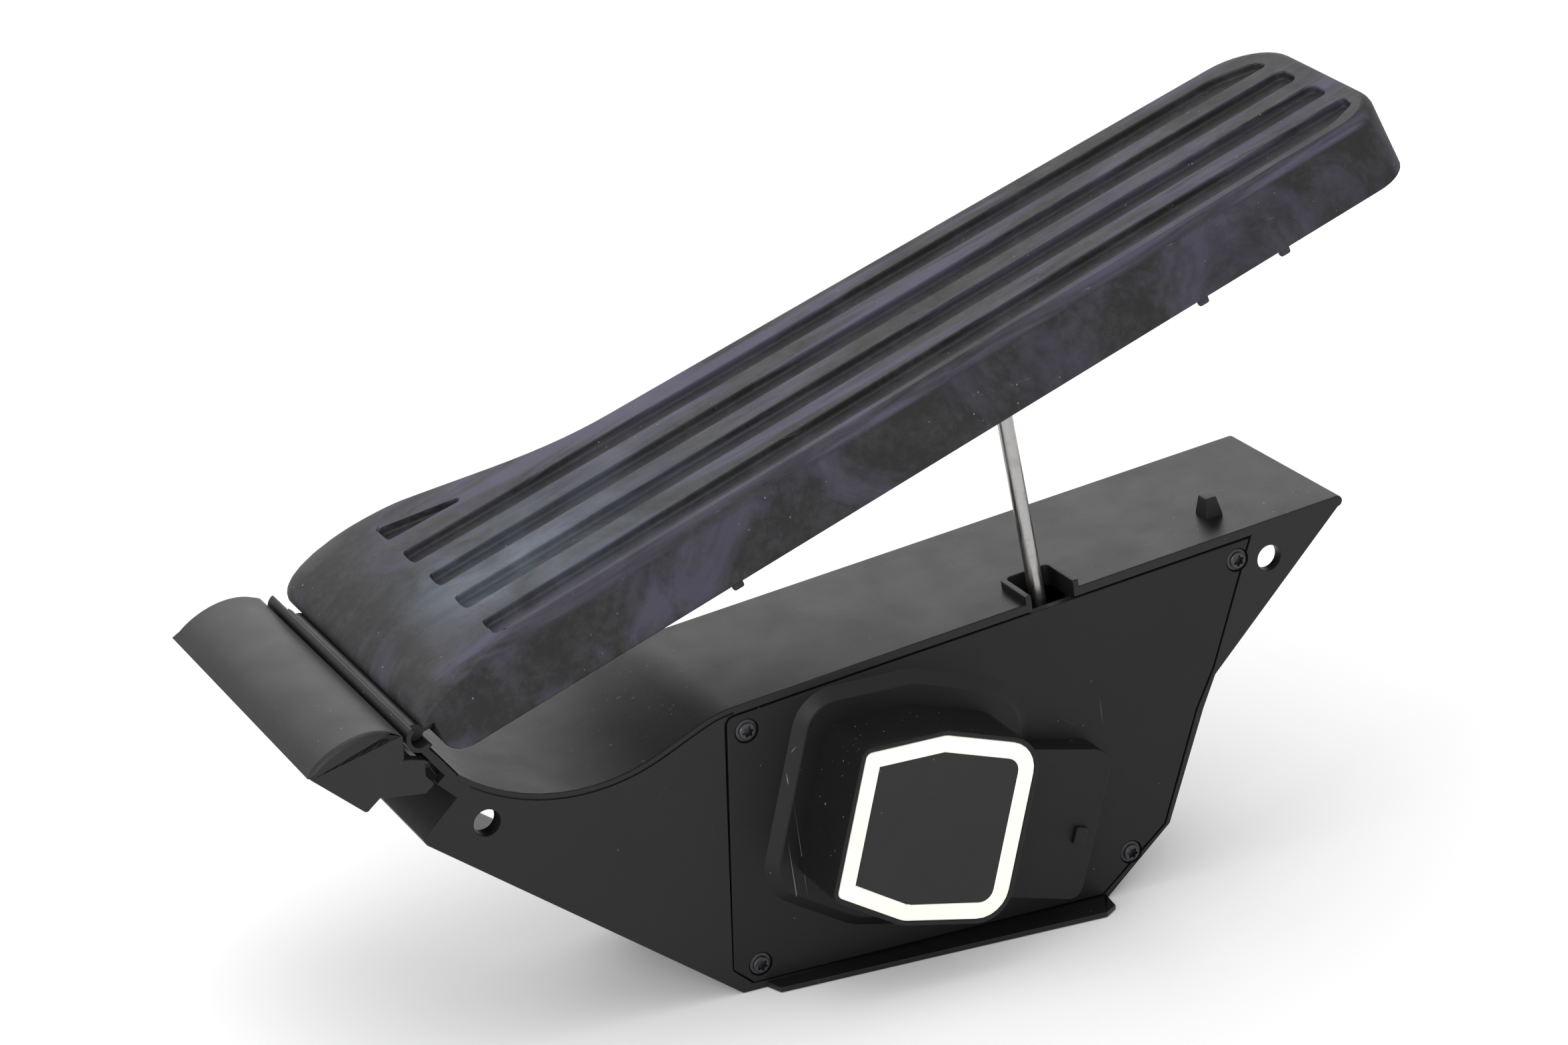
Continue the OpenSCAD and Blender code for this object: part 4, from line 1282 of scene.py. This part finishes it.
    def grooves(self) -> list[BMesh]:
        """Makes the cutters of the four long grooves and the short one.

        Returns:
            The cutters, with rounded floors.
        """
        up = TO_PEDAL.to_3x3() @ Vector((0, 0, 1))
        cutters = []
        for shape in self.groove_shapes:
            outline = rounded(shape, self.groove_steps)
            bm = prism(outline, self.top - self.groove_depth, self.top + self.clear, TO_PEDAL)
            floor = min(bm.faces, key=lambda f: f.calc_center_median().dot(up))
            bmesh.ops.bevel(bm, geom=list(floor.edges), offset=self.groove_round * MM, offset_type="OFFSET",
                            segments=self.edge_steps, profile=0.5, affect="EDGES", clamp_overlap=True,
                            material=-1)
            cutters.append(bm)
        return cutters

    def part_top(self, bm: BMesh) -> None:
        """Parts the flat top along the middle of each groove, so that no face has holes in it.

        Args:
            bm: The pad's mesh in metres.
        """
        heel, toe = self.groove_ends
        kept: set[BMEdge] = set()
        for at_heel, at_toe in self.groove_middles:
            first, last = (TO_PEDAL @ Vector(p) for p in ((heel, at_heel, 0), (toe, at_toe, 0)))
            across = (last - first).cross(TO_PEDAL.to_3x3() @ Vector((0, 0, 1))).normalized()
            out = bmesh.ops.bisect_plane(bm, geom=bm.verts[:] + bm.edges[:] + bm.faces[:], dist=1e-7,
                                         plane_co=first, plane_no=across)
            kept |= {g for g in out["geom_cut"] if isinstance(g, BMEdge)}
        bm.normal_update()
        spare = [e for e in bm.edges if e not in kept and len(e.link_faces) == 2
                 and e.link_faces[0].normal.dot(e.link_faces[1].normal) > 0.9999995]
        bmesh.ops.dissolve_edges(bm, edges=spare, use_verts=False, use_face_split=False)

    def hinge_slot(self) -> list[BMesh]:
        """Cutters that clear the hinge bead and its web.

        Returns:
            A round cutter and a flat one.
        """
        (first, last), (start, reach, half) = self.bead_span, self.web
        across = TO_PEDAL @ Matrix.Translation((0, first, 0)) @ Matrix.Rotation(math.radians(-90), 4, "X")
        turns = [math.tau * i / self.bead_steps for i in range(self.bead_steps)]
        bead = [(self.bead_r * math.cos(t), self.bead_r * math.sin(t)) for t in turns]
        low, high = first + self.web_play[0], last + self.web_play[1]
        web = [(start, low), (reach, low), (reach, high), (start, high)]
        return [prism(bead, 0, last - first, across), prism(web, -half, half, TO_PEDAL)]

    def nubs(self) -> list[BMesh]:
        """Small feet under the near edge of the skirt.

        Returns:
            The feet, which reach into the skirt.
        """
        length, width, height = self.nub
        feet = []
        for u in self.nub_places:
            v = self.near(u, -self.drop) + self.nub_in
            foot = [(u, v), (u + length, v), (u + length, v + width), (u, v + width)]
            feet.append(prism(foot, -self.drop - height, -self.drop + self.nub_reach, TO_PEDAL))
        return feet

    def build(self) -> None:
        """Builds the pad: skin, feet, grooves and slot, then its softened edges."""
        piece = finished(self.skin(), "rubber_pad")
        worked(piece, self.nubs(), Fit.JOIN)
        worked(piece, self.grooves() + self.hinge_slot(), Fit.CUT)
        bm = merged(piece.data, 0.4)
        bpy.data.objects.remove(piece)
        self.part_top(bm)
        ease_edges(bm, self.edge, self.edge_steps)
        self.fitted(finished(bm, "rubber_pad", 50.0), Finish.PAD, "pad")


@dataclass
class PedalPlate(SubAssembly):
    """The moulded plate under the rubber, with the hinge bead and the rod's clip."""

    body: Body = Body.TREADLE
    copies: tuple = (("treadle_plate", Finish.PLATE, 0.25), ("rod_clip", Finish.NYLON, 0.25))


@dataclass
class PushRod(SubAssembly):
    """The bent steel rod and its nylon foot."""

    body: Body = Body.ROD
    copies: tuple = (("push_rod", Finish.ROD, 0), ("rod_foot", Finish.NYLON, 0.3))


@dataclass
class Lever(SubAssembly):
    """The lever that the rod turns, with the magnet in its hub."""

    body: Body = Body.LEVER
    copies: tuple = (("lever", Finish.PLATE, 0.3), ("magnet_holder", Finish.NYLON, 0.2),
                     ("magnet", Finish.MAGNET, 0.2))


@dataclass
class LeverBearing(SubAssembly):
    """Shaft, bushings and return springs that stay with the box."""

    copies: tuple = (("lever_shaft", Finish.ROD, 0.3), ("near_bushing", Finish.NYLON, 0.2),
                     ("far_bushing", Finish.NYLON, 0), ("near_spring", Finish.SPRING, 0),
                     ("far_spring", Finish.SPRING, 0))


@dataclass(frozen=True)
class Light:
    """A soft area light that faces the object. Its place and size are metres, its power watts."""

    name: str
    place: tuple
    size: tuple
    power: float
    target: tuple = (0.02, 0.04, 0.02)

    def build(self) -> None:
        """Adds the light to the scene."""
        data = bpy.data.lights.new(self.name, "AREA")
        data.shape, data.energy = "RECTANGLE", self.power
        data.size, data.size_y = self.size
        lamp = linked(self.name, data)
        aim = (Vector(self.target) - Vector(self.place)).to_track_quat("-Z", "Y")
        lamp.matrix_world = Matrix.Translation(self.place) @ aim.to_matrix().to_4x4()


@dataclass
class Studio:
    """Pale floor, soft lights and the camera at the photograph's angle."""

    lens: float = 99.49
    sensor: float = 36.0
    eye: tuple = (-426.5, -858.7, 414.1)
    right: tuple = (0.89911, -0.43580, -0.04083)
    up: tuple = (0.19176, 0.30831, 0.93176)
    near_clip: float = 0.02
    far_clip: float = 60.0
    floor_size: float = 9.0
    air: float = 0.84
    lights: tuple = (Light("overhead", (-0.15, 0.25, 1.5), (1.5, 1.1), 8.5),
                     Light("from behind", (0.25, 1.5, 0.75), (1.6, 0.7), 5.5),
                     Light("from the left", (-1.5, -0.45, 0.45), (0.7, 1.0), 7.5),
                     Light("from the front", (-0.9, -1.5, 0.9), (1.2, 0.8), 12.0))

    def camera(self) -> None:
        """Sets the camera."""
        data = bpy.data.cameras.new("camera")
        data.lens, data.sensor_width, data.sensor_fit = self.lens, self.sensor, "HORIZONTAL"
        data.clip_start, data.clip_end = self.near_clip, self.far_clip
        camera = linked("camera", data)
        x, y = Vector(self.right), Vector(self.up)
        turn = Matrix((x, y, x.cross(y))).transposed().to_4x4()
        camera.matrix_world = Matrix.Translation(Vector(self.eye) * MM) @ turn
        bpy.context.scene.camera = camera

    def build(self) -> None:
        """Sets floor, world, lights and camera."""
        floor = bmesh.new()
        bmesh.ops.create_grid(floor, x_segments=1, y_segments=1, size=self.floor_size / 2)
        bmesh.ops.translate(floor, verts=floor.verts, vec=(0, 0, CAD_BOX[0].z - 0.0001))
        paper = finished(floor, "studio_floor")
        paper.data.materials.append(StudioPaper("studio paper").material())
        world = bpy.data.worlds.new("studio air")
        bpy.context.scene.world = world
        world.use_nodes = True
        air = world.node_tree.nodes["Background"]
        air.inputs["Color"].default_value = (1.0, 1.0, 1.0, 1.0)
        air.inputs["Strength"].default_value = self.air
        for light in self.lights:
            light.build()
        bpy.context.scene.view_settings.view_transform = "Standard"
        self.camera()


def main() -> None:
    """Builds the sub-assemblies in order."""
    logging.basicConfig(level=logging.INFO, format="%(message)s")
    for kind in (BoxShell, SensorCover, HeelCap, RubberPad, PedalPlate, PushRod, Lever, LeverBearing):
        log.info("building %s", kind.__name__)
        kind().build()
    Studio().build()


if __name__ == "__main__":
    main()
